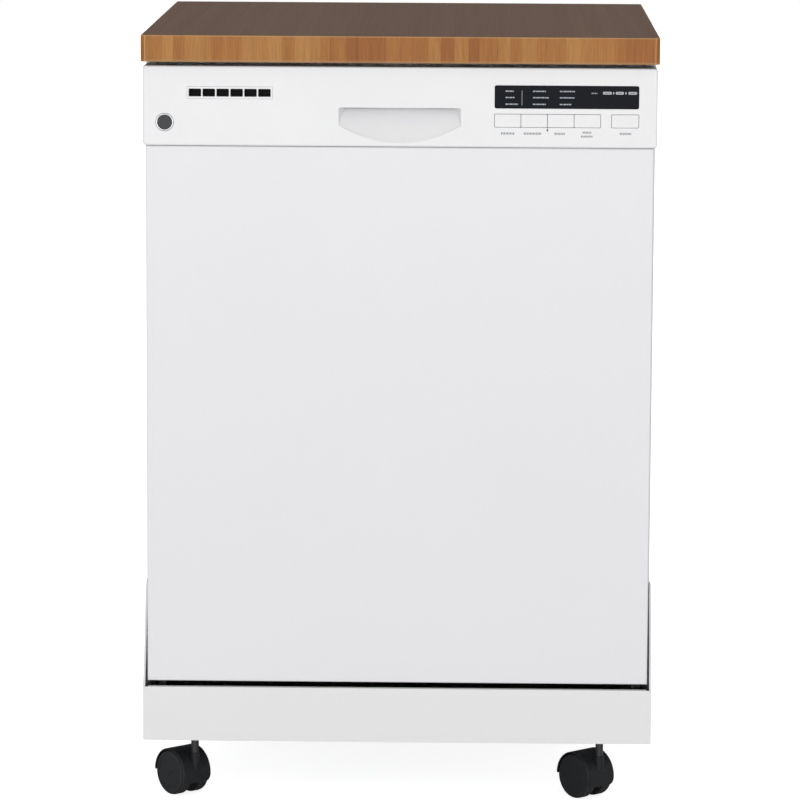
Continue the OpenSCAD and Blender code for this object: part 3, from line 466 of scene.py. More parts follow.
def front_block(name, cx, cz, width, height, front, back, corner, edge=0.8, back_edge=0.0, steps=5):
    """A block that faces the front, with round corners and a rounded front edge."""
    loops = []
    turns = 4
    for k in range(turns + 1):
        angle = math.pi / 2 * k / turns
        inset = edge * (1 - math.sin(angle))
        outline = rounded_outline(width - 2 * inset, height - 2 * inset, corner - inset * 0.6, steps)
        loops.append(facing(outline, front + edge * (1 - math.cos(angle)), cx, cz))
    if back_edge:
        for k in range(turns + 1):
            angle = math.pi / 2 * k / turns
            inset = back_edge * (1 - math.cos(angle))
            outline = rounded_outline(width - 2 * inset, height - 2 * inset, corner - inset * 0.6, steps)
            loops.append(facing(outline, back - back_edge * (1 - math.sin(angle)), cx, cz))
    else:
        loops.append(facing(rounded_outline(width, height, corner, steps), back, cx, cz))
    return lofted(name, loops)


def flared_cutter(name, cx, cz, width, height, front, back, corner, flare=0.5, steps=5):
    """A cutter for a recess, wider at its mouth so that the mouth's edge comes out round."""
    loops = [facing(rounded_outline(width + 2 * flare, height + 2 * flare, corner + flare, steps),
                    front - 1, cx, cz)]
    turns = 4
    for k in range(turns + 1):
        angle = math.pi / 2 * k / turns
        grow = flare * (1 - math.sin(angle))
        outline = rounded_outline(width + 2 * grow, height + 2 * grow, corner + grow, steps)
        loops.append(facing(outline, front + flare * (1 - math.cos(angle)), cx, cz))
    loops.append(facing(rounded_outline(width, height, corner, steps), back, cx, cz))
    return lofted(name, loops)


def ring_about(origin, axis, along, radius, segments):
    """Points on a circle about an axis, some way along it from the origin. Millimetres."""
    axis = Vector(axis).normalized()
    side = axis.orthogonal().normalized()
    other = axis.cross(side)
    points = []
    for k in range(segments):
        angle = 2 * math.pi * k / segments
        out = (side * math.cos(angle) + other * math.sin(angle)) * radius
        points.append(Vector(origin) + axis * along + out)
    return points


def lathe(name, profile, origin, axis, segments=72):
    """Turns a closed profile of (along, radius) points about an axis through the origin."""
    skin = bmesh.new()
    rings = [[skin.verts.new(point * MM) for point in ring_about(origin, axis, along, radius, segments)]
             for along, radius in profile]
    for first, second in zip(rings, rings[1:] + [rings[0]]):
        for k in range(segments):
            skin.faces.new((first[k], first[(k + 1) % segments], second[(k + 1) % segments], second[k]))
    return from_bmesh(name, skin)


def spun(name, profile, origin, axis, segments=72):
    """As lathe, but the profile's two ends lie on the axis and are closed with caps."""
    return lofted(name, [ring_about(origin, axis, along, max(radius, 0.02), segments)
                         for along, radius in profile])


def tube_piece(name, runs, radius, sides=10, closed=False):
    """Round rods along runs of points, in millimetres."""
    curve = bpy.data.curves.new(name, "CURVE")
    curve.dimensions = "3D"
    curve.bevel_depth = radius * MM
    curve.bevel_resolution = max(0, sides // 4 - 1)
    curve.use_fill_caps = True
    for run in runs:
        spline = curve.splines.new("POLY")
        spline.points.add(len(run) - 1)
        for point, where in zip(spline.points, run):
            point.co = (*(Vector(where) * MM), 1.0)
        spline.use_cyclic_u = closed
    holder = bpy.data.objects.new(name + "_run", curve)
    bpy.context.scene.collection.objects.link(holder)
    bpy.context.view_layer.update()
    mesh = bpy.data.meshes.new_from_object(holder.evaluated_get(bpy.context.evaluated_depsgraph_get()))
    bpy.data.objects.remove(holder)
    piece = bpy.data.objects.new(name, mesh)
    bpy.context.scene.collection.objects.link(piece)
    return smooth(piece, 50, evened=False)


def bent(points, radius, steps=4, closed=False):
    """A run of points with its corners rounded, as a bent wire has them."""
    points = [Vector(p) for p in points]
    count = len(points)
    run = []
    for k, point in enumerate(points):
        if not closed and k in (0, count - 1):
            run.append(point)
            continue
        before = points[k - 1]
        after = points[(k + 1) % count]
        back = (before - point).normalized()
        ahead = (after - point).normalized()
        reach = min(radius, (before - point).length / 2, (after - point).length / 2)
        for step in range(steps + 1):
            t = step / steps
            first = point + back * reach
            last = point + ahead * reach
            run.append(first * (1 - t) ** 2 + point * 2 * t * (1 - t) + last * t ** 2)
    return run


def dressed(node, width=0.5, segments=2, angle=30):
    """A copy of a node's mesh with its sheet or moulded edges rounded, which takes the node's place."""
    source = nodes[node]
    skin = bmesh.new()
    skin.from_mesh(source.data)
    bmesh.ops.remove_doubles(skin, verts=skin.verts, dist=0.00001)
    bmesh.ops.dissolve_limit(skin, angle_limit=math.radians(0.6), verts=skin.verts, edges=skin.edges)
    piece = from_bmesh(node + "_skin", skin)
    round_edges(piece, width, segments, angle)
    smooth(piece, 34)
    return stand_in(piece, node)


# ------------------------------------------------------------ camera, light and floor

CAMERA_AT = Vector((94.8, -5646.4, 1311.8)) * MM
CAMERA_YAW, CAMERA_PITCH, CAMERA_ROLL = 0.9982, -8.6664, -0.2932
FOCAL_PIXELS = 4449.4
IMAGE_PIXELS = 800
SENSOR_MM = 36.0


def make_camera():
    data = bpy.data.cameras.new("camera")
    data.sensor_width = SENSOR_MM
    data.lens = SENSOR_MM * FOCAL_PIXELS / IMAGE_PIXELS
    data.clip_end = 60
    camera = bpy.data.objects.new("camera", data)
    bpy.context.scene.collection.objects.link(camera)
    turn = (Matrix.Rotation(math.radians(CAMERA_YAW), 3, "Z")
            @ Matrix.Rotation(math.radians(CAMERA_PITCH), 3, "X")
            @ Matrix.Rotation(math.radians(CAMERA_ROLL), 3, "Y"))
    right, ahead, up = turn.col
    camera.matrix_world = Matrix.Translation(CAMERA_AT) @ Matrix((right, up, -ahead)).transposed().to_4x4()
    bpy.context.scene.camera = camera


def area_lamp(name, at, target, size, power):
    data = bpy.data.lights.new(name, "AREA")
    data.shape = "RECTANGLE"
    data.size, data.size_y = size
    data.energy = power
    lamp = bpy.data.objects.new(name, data)
    bpy.context.scene.collection.objects.link(lamp)
    lamp.location = at
    lamp.rotation_euler = (Vector(target) - Vector(at)).to_track_quat("-Z", "Y").to_euler()


def make_studio():
    world = bpy.data.worlds.new("studio")
    bpy.context.scene.world = world
    world.use_nodes = True
    tree = world.node_tree
    background = tree.nodes["Background"]
    background.inputs["Color"].default_value = (1, 1, 1, 1)
    rays = tree.nodes.new("ShaderNodeLightPath")
    level = tree.nodes.new("ShaderNodeMix")
    level.inputs[2].default_value = 0.60
    level.inputs[3].default_value = 1.0
    tree.links.new(rays.outputs["Is Camera Ray"], level.inputs[0])
    tree.links.new(level.outputs[0], background.inputs["Strength"])
    area_lamp("front", (-0.4, -7.4, 0.8), (0, 0, 0.45), (6.0, 1.6), 176)
    area_lamp("key", (-1.4, -4.4, 2.2), (0, 0, 0.5), (2.4, 2.0), 4)
    area_lamp("top", (0.1, -1.7, 3.8), (0, -0.2, 0.8), (3.4, 2.6), 7)


def make_floor():
    sheet = bmesh.new()
    bmesh.ops.create_grid(sheet, x_segments=1, y_segments=1, size=14.0)
    floor = from_bmesh("floor", sheet)
    white = Finish("floor_white", (0.92, 0.92, 0.92), 0.9, Specular_IOR_Level=0.0)
    white.vary((0.92, 0.92, 0.92), 0.01, white.noise(0.8))
    rays = white.node("LightPath", output="Is Camera Ray")
    glow = white.node("Emission", None, {"Color": (1, 1, 1, 1), "Strength": 0.80})
    shader = Value(white, white.shader.outputs[0])
    lit = white.node("AddShader", None, {0: shader, 1: glow})
    seen = white.node("MixShader", None, {0: rays, 1: shader, 2: lit})
    white.tree.links.new(seen.socket, white.tree.nodes["Material Output"].inputs["Surface"])
    floor.data.materials.append(white.material)


# ------------------------------------------------------------ measures taken from the frame

def edges_mm(node):
    low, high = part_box(node)
    return low / MM, high / MM


TOP_LOW, TOP_HIGH = edges_mm("worktop")
SKIN_LOW, SKIN_HIGH = edges_mm("door_skin")
CONSOLE_LOW, CONSOLE_HIGH = edges_mm("console")
DISPLAY_LOW, DISPLAY_HIGH = edges_mm("display_window")
VENT_LOW, VENT_HIGH = edges_mm("vent_grille")
TUB_LOW = edges_mm("tub")[0]
BADGE_AT = (-282.6, CONSOLE_LOW.z + 28.0)
BADGE_RADIUS = 11.0
POCKET_HALF = 73.2
POCKET_TOP = CONSOLE_LOW.z + 46.7
POCKET_SIDE = CONSOLE_LOW.z + 26.0
POCKET_ARCH = 18.0
SPRING_WIRE = 2.0
SPRING_TURNS = 5
SPRING_PITCH = 2 * SPRING_WIRE + 0.6
SPRING_ZONE = SPRING_TURNS * SPRING_PITCH + 2 * SPRING_WIRE + 6.0
CONSOLE_FACE = DISPLAY_LOW.y + 0.4
KEY_MARGIN = 1.2


# ------------------------------------------------------------ cabinet

def worktop():
    """The laminate slab: round upright corners, eased upper edge, strips that wrap over the front."""
    width = TOP_HIGH.x - TOP_LOW.x
    depth = TOP_HIGH.y - TOP_LOW.y
    corner = 5.0
    ease = 1.3
    under = 0.6
    loops = []
    for inset, z in ((under, TOP_LOW.z), (0.0, TOP_LOW.z + under)):
        outline = rounded_outline(width - 2 * inset, depth - 2 * inset, corner - inset, 8)
        loops.append([(u, v, z) for u, v in outline])
    for k in range(5):
        angle = math.pi / 2 * k / 4
        inset = ease * (1 - math.cos(angle))
        outline = rounded_outline(width - 2 * inset, depth - 2 * inset, corner - inset, 8)
        loops.append([(u, v, TOP_HIGH.z - ease + ease * math.sin(angle)) for u, v in outline])
    slab = smooth(lofted("worktop_slab", loops), 40)
    slab.data.materials.append(worktop_face.material)
    slab.data.materials.append(worktop_edge.material)
    for face in slab.data.polygons:
        face.material_index = 0 if abs(face.normal.z) > 0.9 else 1
    stand_in(slab, "worktop")


def sheet_panel(name, front, flanges, to_world, thickness, fold=2.2):
    """A pressed sheet: a flat face with folded flanges along chosen edges of its outline.

    front is the outline in millimetres, flanges the depth of the fold on each edge (0 for none).
    """
    skin = bmesh.new()
    ring = [skin.verts.new(Vector((u, v, 0.0))) for u, v in front]
    skin.faces.new(ring)
    count = len(ring)
    for k, depth in enumerate(flanges):
        if not depth:
            continue
        first, second = ring[k], ring[(k + 1) % count]
        deep_first = skin.verts.new(first.co + Vector((0, 0, depth)))
        deep_second = skin.verts.new(second.co + Vector((0, 0, depth)))
        skin.faces.new((second, first, deep_first, deep_second))
    bmesh.ops.remove_doubles(skin, verts=skin.verts, dist=0.01)
    bmesh.ops.recalc_face_normals(skin, faces=skin.faces)
    creases = [e for e in skin.edges if len(e.link_faces) == 2]
    bmesh.ops.bevel(skin, geom=creases, offset=fold, segments=4, profile=0.5, affect="EDGES")
    for vert in skin.verts:
        vert.co = to_world(vert.co) * MM
    skin.normal_update()
    inward = to_world(Vector((0, 0, 1))) - to_world(Vector((0, 0, 0)))
    if max(skin.faces, key=lambda face: face.calc_area()).normal.dot(inward) > 0:
        bmesh.ops.reverse_faces(skin, faces=skin.faces)
    mesh = bpy.data.meshes.new(name)
    skin.to_mesh(mesh)
    skin.free()
    piece = bpy.data.objects.new(name, mesh)
    bpy.context.scene.collection.objects.link(piece)
    thick = piece.modifiers.new("sheet", "SOLIDIFY")
    thick.thickness = thickness * MM
    thick.offset = -1
    thick.use_even_offset = True
    return smooth(settle(piece), 40)


def softened(points, passes=2):
    """A run of points with its corners cut back again and again, so that it runs as a curve."""
    for _ in range(passes):
        run = [points[0]]
        for first, second in zip(points, points[1:]):
            run.append(tuple(0.75 * a + 0.25 * b for a, b in zip(first, second)))
            run.append(tuple(0.25 * a + 0.75 * b for a, b in zip(first, second)))
        points = run + [points[-1]]
    return points


def side_panels():
    """The white side sheets, each with a plate whose curved edge runs forward beside the kick panel."""
    sheet = 1.2
    step = 2.0
    plate = 2.6
    front_line = TUB_LOW.y
    base = SKIN_LOW.z
    for side, node in ((-1, "side_panel_left"), (1, "side_panel_right")):
        low, high = edges_mm(node)
        outer = high.x if side > 0 else low.x
        outline = [(front_line, low.z), (front_line, base + 120), (front_line, high.z), (high.y, high.z),
                   (high.y, low.z)]
        place = lambda p, side=side, outer=outer: Vector((outer - side * (step + p.z), p.x, p.y))
        panel = sheet_panel(node + "_sheet", outline, [0, 13, 13, 13, 0], place, sheet, 1.6)
        curve = [(front_line, base + 115), (front_line - 8, base + 108), (front_line - 19, base + 90),
                 (front_line - 33, base + 52), (front_line - 51, base + 15), (low.y, base - 4)]
        rear = front_line + 14
        wing_line = [(rear, low.z), (rear, base + 115), *softened(curve), (low.y, low.z)]
        wing = lofted(node + "_plate", [[(outer - side * depth, y, z) for y, z in wing_line]
                                        for depth in (0.0, plate)])
        stand_in(join(node + "_sheet", [panel, smooth(round_edges(wing, 0.9, 3, 50))]), node)


# ------------------------------------------------------------ door and console

def door_skin():
    """The plain white door sheet with folded edges, and a lip under it between the hinges."""
    width = SKIN_HIGH.x - SKIN_LOW.x
    half = width / 2
    sheet = 1.2
    outline = [(-half, SKIN_LOW.z), (-half, SKIN_HIGH.z), (half, SKIN_HIGH.z), (half, SKIN_LOW.z)]
    depth = SKIN_HIGH.y - SKIN_LOW.y
    place = lambda p: Vector((p.x, SKIN_LOW.y + p.z, p.y))
    skin = sheet_panel("door_sheet", outline, [depth, 22, depth, 4.4], place, sheet, 2.4)
    reach = edges_mm("door_springs")[1].x - SPRING_ZONE
    low, high = SKIN_LOW.z, SKIN_LOW.z + sheet
    section = [(SKIN_LOW.y + 4.0, low), (SKIN_LOW.y + 21.6, low), (SKIN_LOW.y + 22.0, low + 0.4),
               (SKIN_LOW.y + 22.0, high - 0.4), (SKIN_LOW.y + 21.6, high), (SKIN_LOW.y + 4.0, high)]
    lip = lofted("door_lip", [[(x, y, z) for y, z in section] for x in (-reach, reach)])
    stand_in(join("door_sheet", [skin, smooth(lip)]), "door_skin")


def pocket_loop(y, drop, grow, close):
    """The pocket's outline at a depth: a straight top, and sides and an arc that close in on it."""
    half = POCKET_HALF * (1 - 0.10 * close) + grow
    top = POCKET_TOP + grow
    radius = (POCKET_HALF ** 2 + POCKET_ARCH ** 2) / (2 * POCKET_ARCH)
    steps = 36
    points = []
    for k in range(steps + 1):
        t = 2 * k / steps - 1
        arc = POCKET_SIDE - POCKET_ARCH - grow + radius - math.sqrt(radius ** 2 - (POCKET_HALF * t) ** 2)
        points.append((half * t, y, (arc - drop * (1 - t * t)) * (1 - close) + top * close))
    corner = 1.6
    for centre_x, start in ((half - corner, 0), (-half + corner, 90)):
        for k in range(4):
            angle = math.radians(start + 90 * k / 3)
            points.append((centre_x + corner * math.cos(angle), y, top - corner + corner * math.sin(angle)))
    return points


def pocket_cutter():
    """The handle pocket's hollow: a crescent chamfer, then a scoop that runs up to a deep grip."""
    front = CONSOLE_FACE
    deep = 20.0
    rim = 1.6
    loops = [pocket_loop(front - 1.0, 3.8, 0.5, 0.0), pocket_loop(front, 3.8, 0.5, 0.0),
             pocket_loop(front + 0.3, 3.4, 0.1, 0.0), pocket_loop(front + 1.3, 0.3, 0.0, 0.0)]
    steps = 10
    for k in range(steps + 1):
        t = k / steps
        loops.append(pocket_loop(front + rim + (deep - rim) * t, 0.0, 0.0, 0.95 * math.sin(math.pi / 2 * t)))
    return lofted("pocket_cutter", loops)


def console():
    """The console moulding with its pocket, its recesses and rounded edges."""
    low, high = CONSOLE_LOW, CONSOLE_HIGH
    front = CONSOLE_FACE
    mid_z = (low.z + high.z) / 2
    width = high.x - low.x
    height = high.z - low.z
    shell = front_block("console_shell", 0, mid_z, width, height, front, high.y, 3.6, 2.0, steps=6)
    display_mid = (DISPLAY_LOW + DISPLAY_HIGH) / 2
    vent_mid = (VENT_LOW + VENT_HIGH) / 2
    cutters = [
        pocket_cutter(),
        flared_cutter("c1", display_mid.x, display_mid.z, DISPLAY_HIGH.x - DISPLAY_LOW.x + 0.4,
                      DISPLAY_HIGH.z - DISPLAY_LOW.z + 0.4, front, front + 3.4, 2.2, 0.35),
        flared_cutter("c2", vent_mid.x, vent_mid.z, VENT_HIGH.x - VENT_LOW.x + 0.2,
                      VENT_HIGH.z - VENT_LOW.z + 0.2, front, front + 9, 1.2, 0.25),
    ]
    low_1, high_4 = edges_mm("button_1")[0], edges_mm("button_4")[1]
    power_low, power_high = edges_mm("button_power")
    for name, left, right in (("c3", low_1.x, high_4.x), ("c4", power_low.x, power_high.x)):
        cap_low, cap_high = low_1.z + KEY_MARGIN, high_4.z - KEY_MARGIN
        cutters.append(flared_cutter(name, (left + right) / 2, (cap_low + cap_high) / 2, right - left + 0.8,
                                     cap_high - cap_low + 0.8, front, front + 16, 1.2, 0.3))
    cut(shell, *cutters)
    stand_in(smooth(shell, 28), "console")
    badge_origin = (BADGE_AT[0], front - 0.8, BADGE_AT[1])
    rim_section = [(0.7, 2.1), (0.15, 1.9), (0, 1.3), (0.15, 0.5), (0.6, 0.0), (1.4, 0.0), (1.4, 2.1)]
    ring = lathe("badge_rim", [(along, BADGE_RADIUS - inset) for along, inset in rim_section], badge_origin,
                 (0, 1, 0), 96)
    finish_piece(smooth(ring, 50), badge_ring, "door", "white_plastic")
    field = spun("badge_field", [(0.35, 0), (0.35, BADGE_RADIUS - 3.0), (0.5, BADGE_RADIUS - 2.0),
                                 (1.3, BADGE_RADIUS - 2.0), (1.3, 0)], badge_origin, (0, 1, 0), 96)
    finish_piece(smooth(field), badge_field, "door", "white_plastic")


def vent():
    """The vent's insert: a thin raised frame round six windows with slanted louvres behind."""
    mid = (VENT_LOW + VENT_HIGH) / 2
    insert = front_block("vent_insert", mid.x, mid.z, VENT_HIGH.x - VENT_LOW.x, VENT_HIGH.z - VENT_LOW.z,
                         VENT_LOW.y, VENT_HIGH.y, 1.2, 0.4)
    pitch = 16.7
    windows = 6
    cutters = []
    for k in range(windows):
        x = mid.x + (k - (windows - 1) / 2) * pitch
        cutters.append(flared_cutter(f"w{k}", x, mid.z, 15.0, 9.5, VENT_LOW.y, VENT_HIGH.y + 2, 1.0, 0.25, 3))
    stand_in(smooth(cut(insert, *cutters), 28), "vent_grille")
    bars = [front_block(f"louvre_{row}", mid.x, mid.z + (row - 1) * 3.4, VENT_HIGH.x - VENT_LOW.x - 2, 0.9,
                        VENT_LOW.y + 5.0, VENT_LOW.y + 8.0, 0.3, 0.2) for row in range(3)]
    # painted shade: a near-black plate closes the recess behind the louvres, standing in for the shade deep inside
    # the vent; the louvres are black plastic
    dark = [front_block("vent_shade_plate", mid.x, mid.z, VENT_HIGH.x - VENT_LOW.x - 1,
                        VENT_HIGH.z - VENT_LOW.z - 1, VENT_HIGH.y, VENT_HIGH.y + 1.0, 0.5, 0.2)]
    finish_piece(join("vent_louvres", bars + dark), vent_black_and_shade, "door", "black_plastic")


def strokes(name, rows, y, finish, body, slot, thickness=0.12):
    """Short printed strokes standing a hair proud of a face: (x0, x1, z0, z1) each."""
    pieces = []
    for k, (x0, x1, z0, z1) in enumerate(rows):
        width, height = x1 - x0, z1 - z0
        pieces.append(front_block(f"{name}_{k}", (x0 + x1) / 2, (z0 + z1) / 2, width, height, y - thickness,
                                  y + 0.3, min(width, height) * 0.3, thickness / 2, steps=2))
    return finish_piece(join(name, pieces), finish, body, slot)


def dashes(x0, x1, z, height, lengths, gap):
    """A printed line as a row of small strokes of uneven length, like unreadable small print."""
    rows = []
    x = x0
    k = 0
    while x < x1 - 0.4:
        step = min(lengths[k % len(lengths)], x1 - x)
        rows.append((x, x + step, z - height / 2, z + height / 2))
        x += step + gap
        k += 1
    return rows


def display():
    """The black window with its generic marks: three columns of dashes, a rule and three chips."""
    mid = (DISPLAY_LOW + DISPLAY_HIGH) / 2
    glass = front_block("display_glass", mid.x, mid.z, DISPLAY_HIGH.x - DISPLAY_LOW.x,
                        DISPLAY_HIGH.z - DISPLAY_LOW.z, DISPLAY_LOW.y, DISPLAY_HIGH.y, 2.0, 0.4, steps=6)
    stand_in(smooth(glass), "display_window")
    base = CONSOLE_LOW.z
    rows_z = (base + 67.9, base + 60.3, base + 52.3)
    columns = ((126.7, (9.8, 10.6, 15.0)), (159.4, (16.5, 19.0, 16.0)), (191.7, (18.0, 17.5, 14.0)))
    small = []
    for x, lengths in columns:
        for z, length in zip(rows_z, lengths):
            small += dashes(x, x + length, z, 1.5, (2.6, 1.4, 3.1, 2.0), 0.5)
    small += dashes(229.6, 236.9, base + 65.9, 1.2, (1.6, 1.2), 0.5)
    face = DISPLAY_LOW.y
    strokes("display_dashes", small, face, mark_grey, "door", "black_glass")
    rule = [(146.0, 146.8, base + 50.9, base + 68.7)]
    strokes("display_rule", rule, face, label_grey, "door", "black_glass")
    chips = [(x0, x1, base + 64.6, base + 67.9)
             for x0, x1 in ((243.3, 253.8), (258.7, 268.3), (273.8, 284.1))]
    arrows = []
    for x in (255.4, 270.2):
        arrows += [(x, x + 0.9, base + 64.6, base + 67.8), (x + 0.9, x + 1.8, base + 65.6, base + 66.8)]
    strokes("display_chips", chips + arrows, face, mark_bright, "door", "black_glass")
    inner = []
    for x0, x1, z0, z1 in chips:
        inner += dashes(x0 + 2.0, x1 - 2.0, (z0 + z1) / 2, 1.3, (1.3, 1.0, 1.7), 0.5)
    strokes("display_chip_dashes", inner, face - 0.1, line_grey, "door", "black_glass")


def buttons():
    """The five keys, each with softly rounded edges, and the small print under them."""
    names = [f"button_{k}" for k in range(1, 5)] + ["button_power"]
    for name in names:
        low, high = edges_mm(name)
        key = front_block(name + "_cap", (low.x + high.x) / 2, (low.z + high.z) / 2, high.x - low.x,
                          high.z - low.z - 2 * KEY_MARGIN, low.y, high.y - 8, 1.0, 0.45)
        plunger = spun(name + "_plunger", [(0, 0), (0, 2.5), (8.2, 2.5), (8.2, 0)],
                       ((low.x + high.x) / 2, high.y - 8.2, (low.z + high.z) / 2), (0, 1, 0), 24)
        stand_in(smooth(join(name + "_key", [key, plunger])), name)
    base = CONSOLE_LOW.z
    print_rows = []
    for x0, x1, height, size, lengths in (
            (121.5, 137.6, 17.0, 2.7, (1.6, 1.0, 1.3, 0.9)),
            (148.8, 169.8, 17.0, 2.7, (1.4, 1.0, 1.5, 0.9)),
            (185.9, 198.0, 17.0, 2.7, (1.5, 1.0, 1.2)),
            (219.5, 230.2, 18.6, 2.4, (1.3, 0.9, 1.4)),
            (217.5, 232.0, 13.9, 2.4, (1.4, 1.0, 1.2)),
            (264.0, 277.7, 17.4, 2.6, (1.4, 1.0, 1.3)),
    ):
        print_rows += dashes(x0, x1, base + height, size, lengths, 0.6)
    strokes("key_labels", print_rows, CONSOLE_FACE, label_grey, "door", "white_plastic", 0.08)
    joint = edges_mm("button_3")[0].x - 0.25
    stroke = [(joint - 0.25, joint + 0.25, base + 19.0, base + 24.0),
              (joint - 1.0, joint + 1.0, base + 20.2, base + 22.4)]
    strokes("key_divider_mark", stroke, CONSOLE_FACE, line_grey, "door", "white_plastic", 0.08)


# ------------------------------------------------------------ casters

WHEEL_LOW, WHEEL_HIGH = edges_mm("caster_front_left_wheel_left")
WHEEL_RADIUS = (WHEEL_HIGH.z - WHEEL_LOW.z) / 2


def caster_axes(corner):
    """The axle's middle and direction, and the stem's axis, from the frame's joints."""
    joints = {joint["name"]: joint for joint in frame["joints"]}
    spin = joints[f"wheel_{corner}_left_spin"]
    swivel = joints[f"caster_{corner}_swivel"]
    return Vector(spin["pos_m"]) / MM, Vector(spin["axis"]).normalized(), Vector(swivel["pos_m"]) / MM


def about_axle(node, centre, axle):
    """Each corner of a node's mesh as its distance along an axle and its distance from it."""
    found = []
    for vert in nodes[node].data.vertices:
        offset = vert.co / MM - centre
        along = offset.dot(axle)
        found.append((along, (offset - axle * along).length))
    return found


def caster_wheel(corner, side):
    """A twin wheel: a banded tread, and a shallow dished face with a plain hub and a soft rim."""
    node = f"caster_{corner}_wheel_{side}"
    centre, axle, _ = caster_axes(corner)
    out = -axle if side == "left" else axle
    reach = [along for along, _ in about_axle(node, centre, out)]
    near, far = min(reach), max(reach)
    thick = far - near
    radius = WHEEL_RADIUS
    profile = [(near, 4.05), (near, 11.0), (near + 1.0, 12.0), (near + 1.0, radius - 5), (near, radius - 4),
               (near, radius - 1.6), (near + 0.5, radius - 0.5), (near + 1.6, radius),
               (near + thick * 0.42, radius), (near + thick * 0.45, radius - 0.6),
               (near + thick * 0.55, radius - 0.6), (near + thick * 0.58, radius), (far - 2.6, radius),
               (far - 1.4, radius - 0.3), (far - 0.5, radius - 1.0), (far - 0.1, radius - 2.0),
               (far, radius - 3.0), (far - 0.1, radius - 4.2), (far - 0.7, radius - 5.4),
               (far - 0.9, radius - 7.0), (far - 0.8, 10.0), (far - 0.6, 4.6), (far - 0.9, 4.05)]
    wheel = lathe(node + "_disc", profile, centre, out, 96)
    wheel.data.materials.append(caster_black.material)
    wheel.data.materials.append(tread_black.material)
    for face in wheel.data.polygons:
        offset = face.center / MM - centre
        radial = (offset - out * offset.dot(out)).length
        face.material_index = 1 if radial > radius - 1.2 else 0
    return stand_in(smooth(wheel, 40), node)


def caster_hood(corner):
    """The hood over both wheels: a curved cover, a middle web, the stem's boss and capped axle ends."""
    node = f"caster_{corner}_hood"
    centre, axle, stem = caster_axes(corner)
    up = Vector((0, 0, 1))
    ahead = axle.cross(up).normalized()
    if (stem - centre).dot(ahead) < 0:
        ahead = -ahead
    spread = about_axle(node, centre, axle)
    half = max(along for along, _ in spread)
    side_rim = [radial for along, radial in spread if along > half - 0.3]
    inner, outer = min(side_rim), max(side_rim)
    thick = outer - inner

    def at(angle, radius, across):
        turned = ahead * math.cos(angle) + up * math.sin(angle)
        return centre + turned * radius + axle * across

    start = math.radians(-21)
    stop = math.radians(181)
    lip = thick * 0.45
    loops = []
    steps = 56
    for k in range(steps + 1):
        t = k / steps
        angle = start + (stop - start) * t
        taper = min(1.0, math.sin(math.pi * t) * 14 + 0.55)
        corner_cut = 3.2 * max(0.0, 1 - t * 12) ** 2
        side = half - corner_cut
        top = inner + thick * taper
        half_rim = [(inner, side), (top - lip, side), (top - lip * 0.3, side - lip * 0.3), (top, side - lip)]
        loops.append([at(angle, r, -across) for r, across in half_rim] + [at(angle, top, 0)]
                     + [at(angle, r, across) for r, across in reversed(half_rim)] + [at(angle, inner, 0)])
    cover = lofted(node + "_cover", loops)
    web_half = 5.6
    rim = [at(math.radians(-16 + 194 * k / 24), inner + 0.4, 0) for k in range(25)]
    keel = [at(math.radians(a), 10.5, 0) for a in (200, 225, 250, 275, 300, 330)]
    web = lofted(node + "_web", [[p + axle * s for p in rim + keel] for s in (-web_half, web_half)])
    foot = WHEEL_RADIUS + 6.0
    head = 2 * WHEEL_RADIUS - foot
    boss = lathe(node + "_boss", [(0, 5.0), (0, 5.7), (1.2, 6.1), (head - 1.0, 6.1), (head - 0.3, 5.8),
                                  (head, 5.2), (head, 5.0)], (stem.x, stem.y, foot), (0, 0, 1), 48)
    hub = spun(node + "_axle", [(2 - half, 0), (2 - half, 3.2), (2.8 - half, 3.95), (half - 2.8, 3.95),
                                (half - 2, 3.2), (half - 2, 0)], centre, axle, 40)
    caps = []
    for way in (-1, 1):
        caps.append(spun(f"{node}_cap_{way + 1}", [(way * (half - 2.1), 0), (way * (half - 2.1), 4.0),
                                                   (way * (half - 0.9), 4.0), (way * (half - 0.6), 3.4),
                                                   (way * (half - 0.5), 0)], centre, axle, 40))
    return stand_in(smooth(join(node + "_shell", [cover, web, boss, hub, *caps]), 40), node)


# ------------------------------------------------------------ racks and wash parts

def rack(node, half, tines, tine_height, first_row=0):
    """A coated wire rack: bent floor wires that rise as the walls, two rims and rows of tines."""
    low, high = edges_mm(node)
    wire = 2.2
    end = 20.0
    cols, rows = 11, 10
    top = high.z - wire
    floor = low.z + wire
    front = low.y + 2.5 * wire
    back = high.y - 2.5 * wire
    lift = 1.7 * wire
    runs = []
    for k in range(cols):
        x = -half + end + k * 2 * (half - end) / (cols - 1)
        runs.append(bent([(x, front, top), (x, front, floor), (x, back, floor), (x, back, top)], 9))
    depths = [front + end + k * (back - front - 2 * end) / (rows - 1) for k in range(rows)]
    for y in depths:
        bed = floor + lift
        runs.append(bent([(-half, y, top), (-half, y, bed), (half, y, bed), (half, y, top)], 9))
    wires = tube_piece(node + "_wires", runs, wire)
    rims = []
    for z in (floor + (top - floor) * 0.45, top):
        grow = 1.5 * wire
        corners = [(sx * (half + grow), y, z) for sx, y in ((-1, front - grow), (1, front - grow),
                                                            (1, back + grow), (-1, back + grow))]
        rims.append(bent(corners, 14, 6, True))
    posts = []
    for y in depths[first_row:]:
        for col in tines:
            x = -half + end + (col + 0.5) * 2 * (half - end) / (cols - 1)
            tip = floor + tine_height
            posts.append([(x, y, floor + lift), (x, y, tip - 0.6), (x, y, tip)])
    tine = tube_piece(node + "_tines", posts, wire * 0.8)
    return [wires, tube_piece(node + "_rims", rims, wire * 1.15, closed=True), tine]


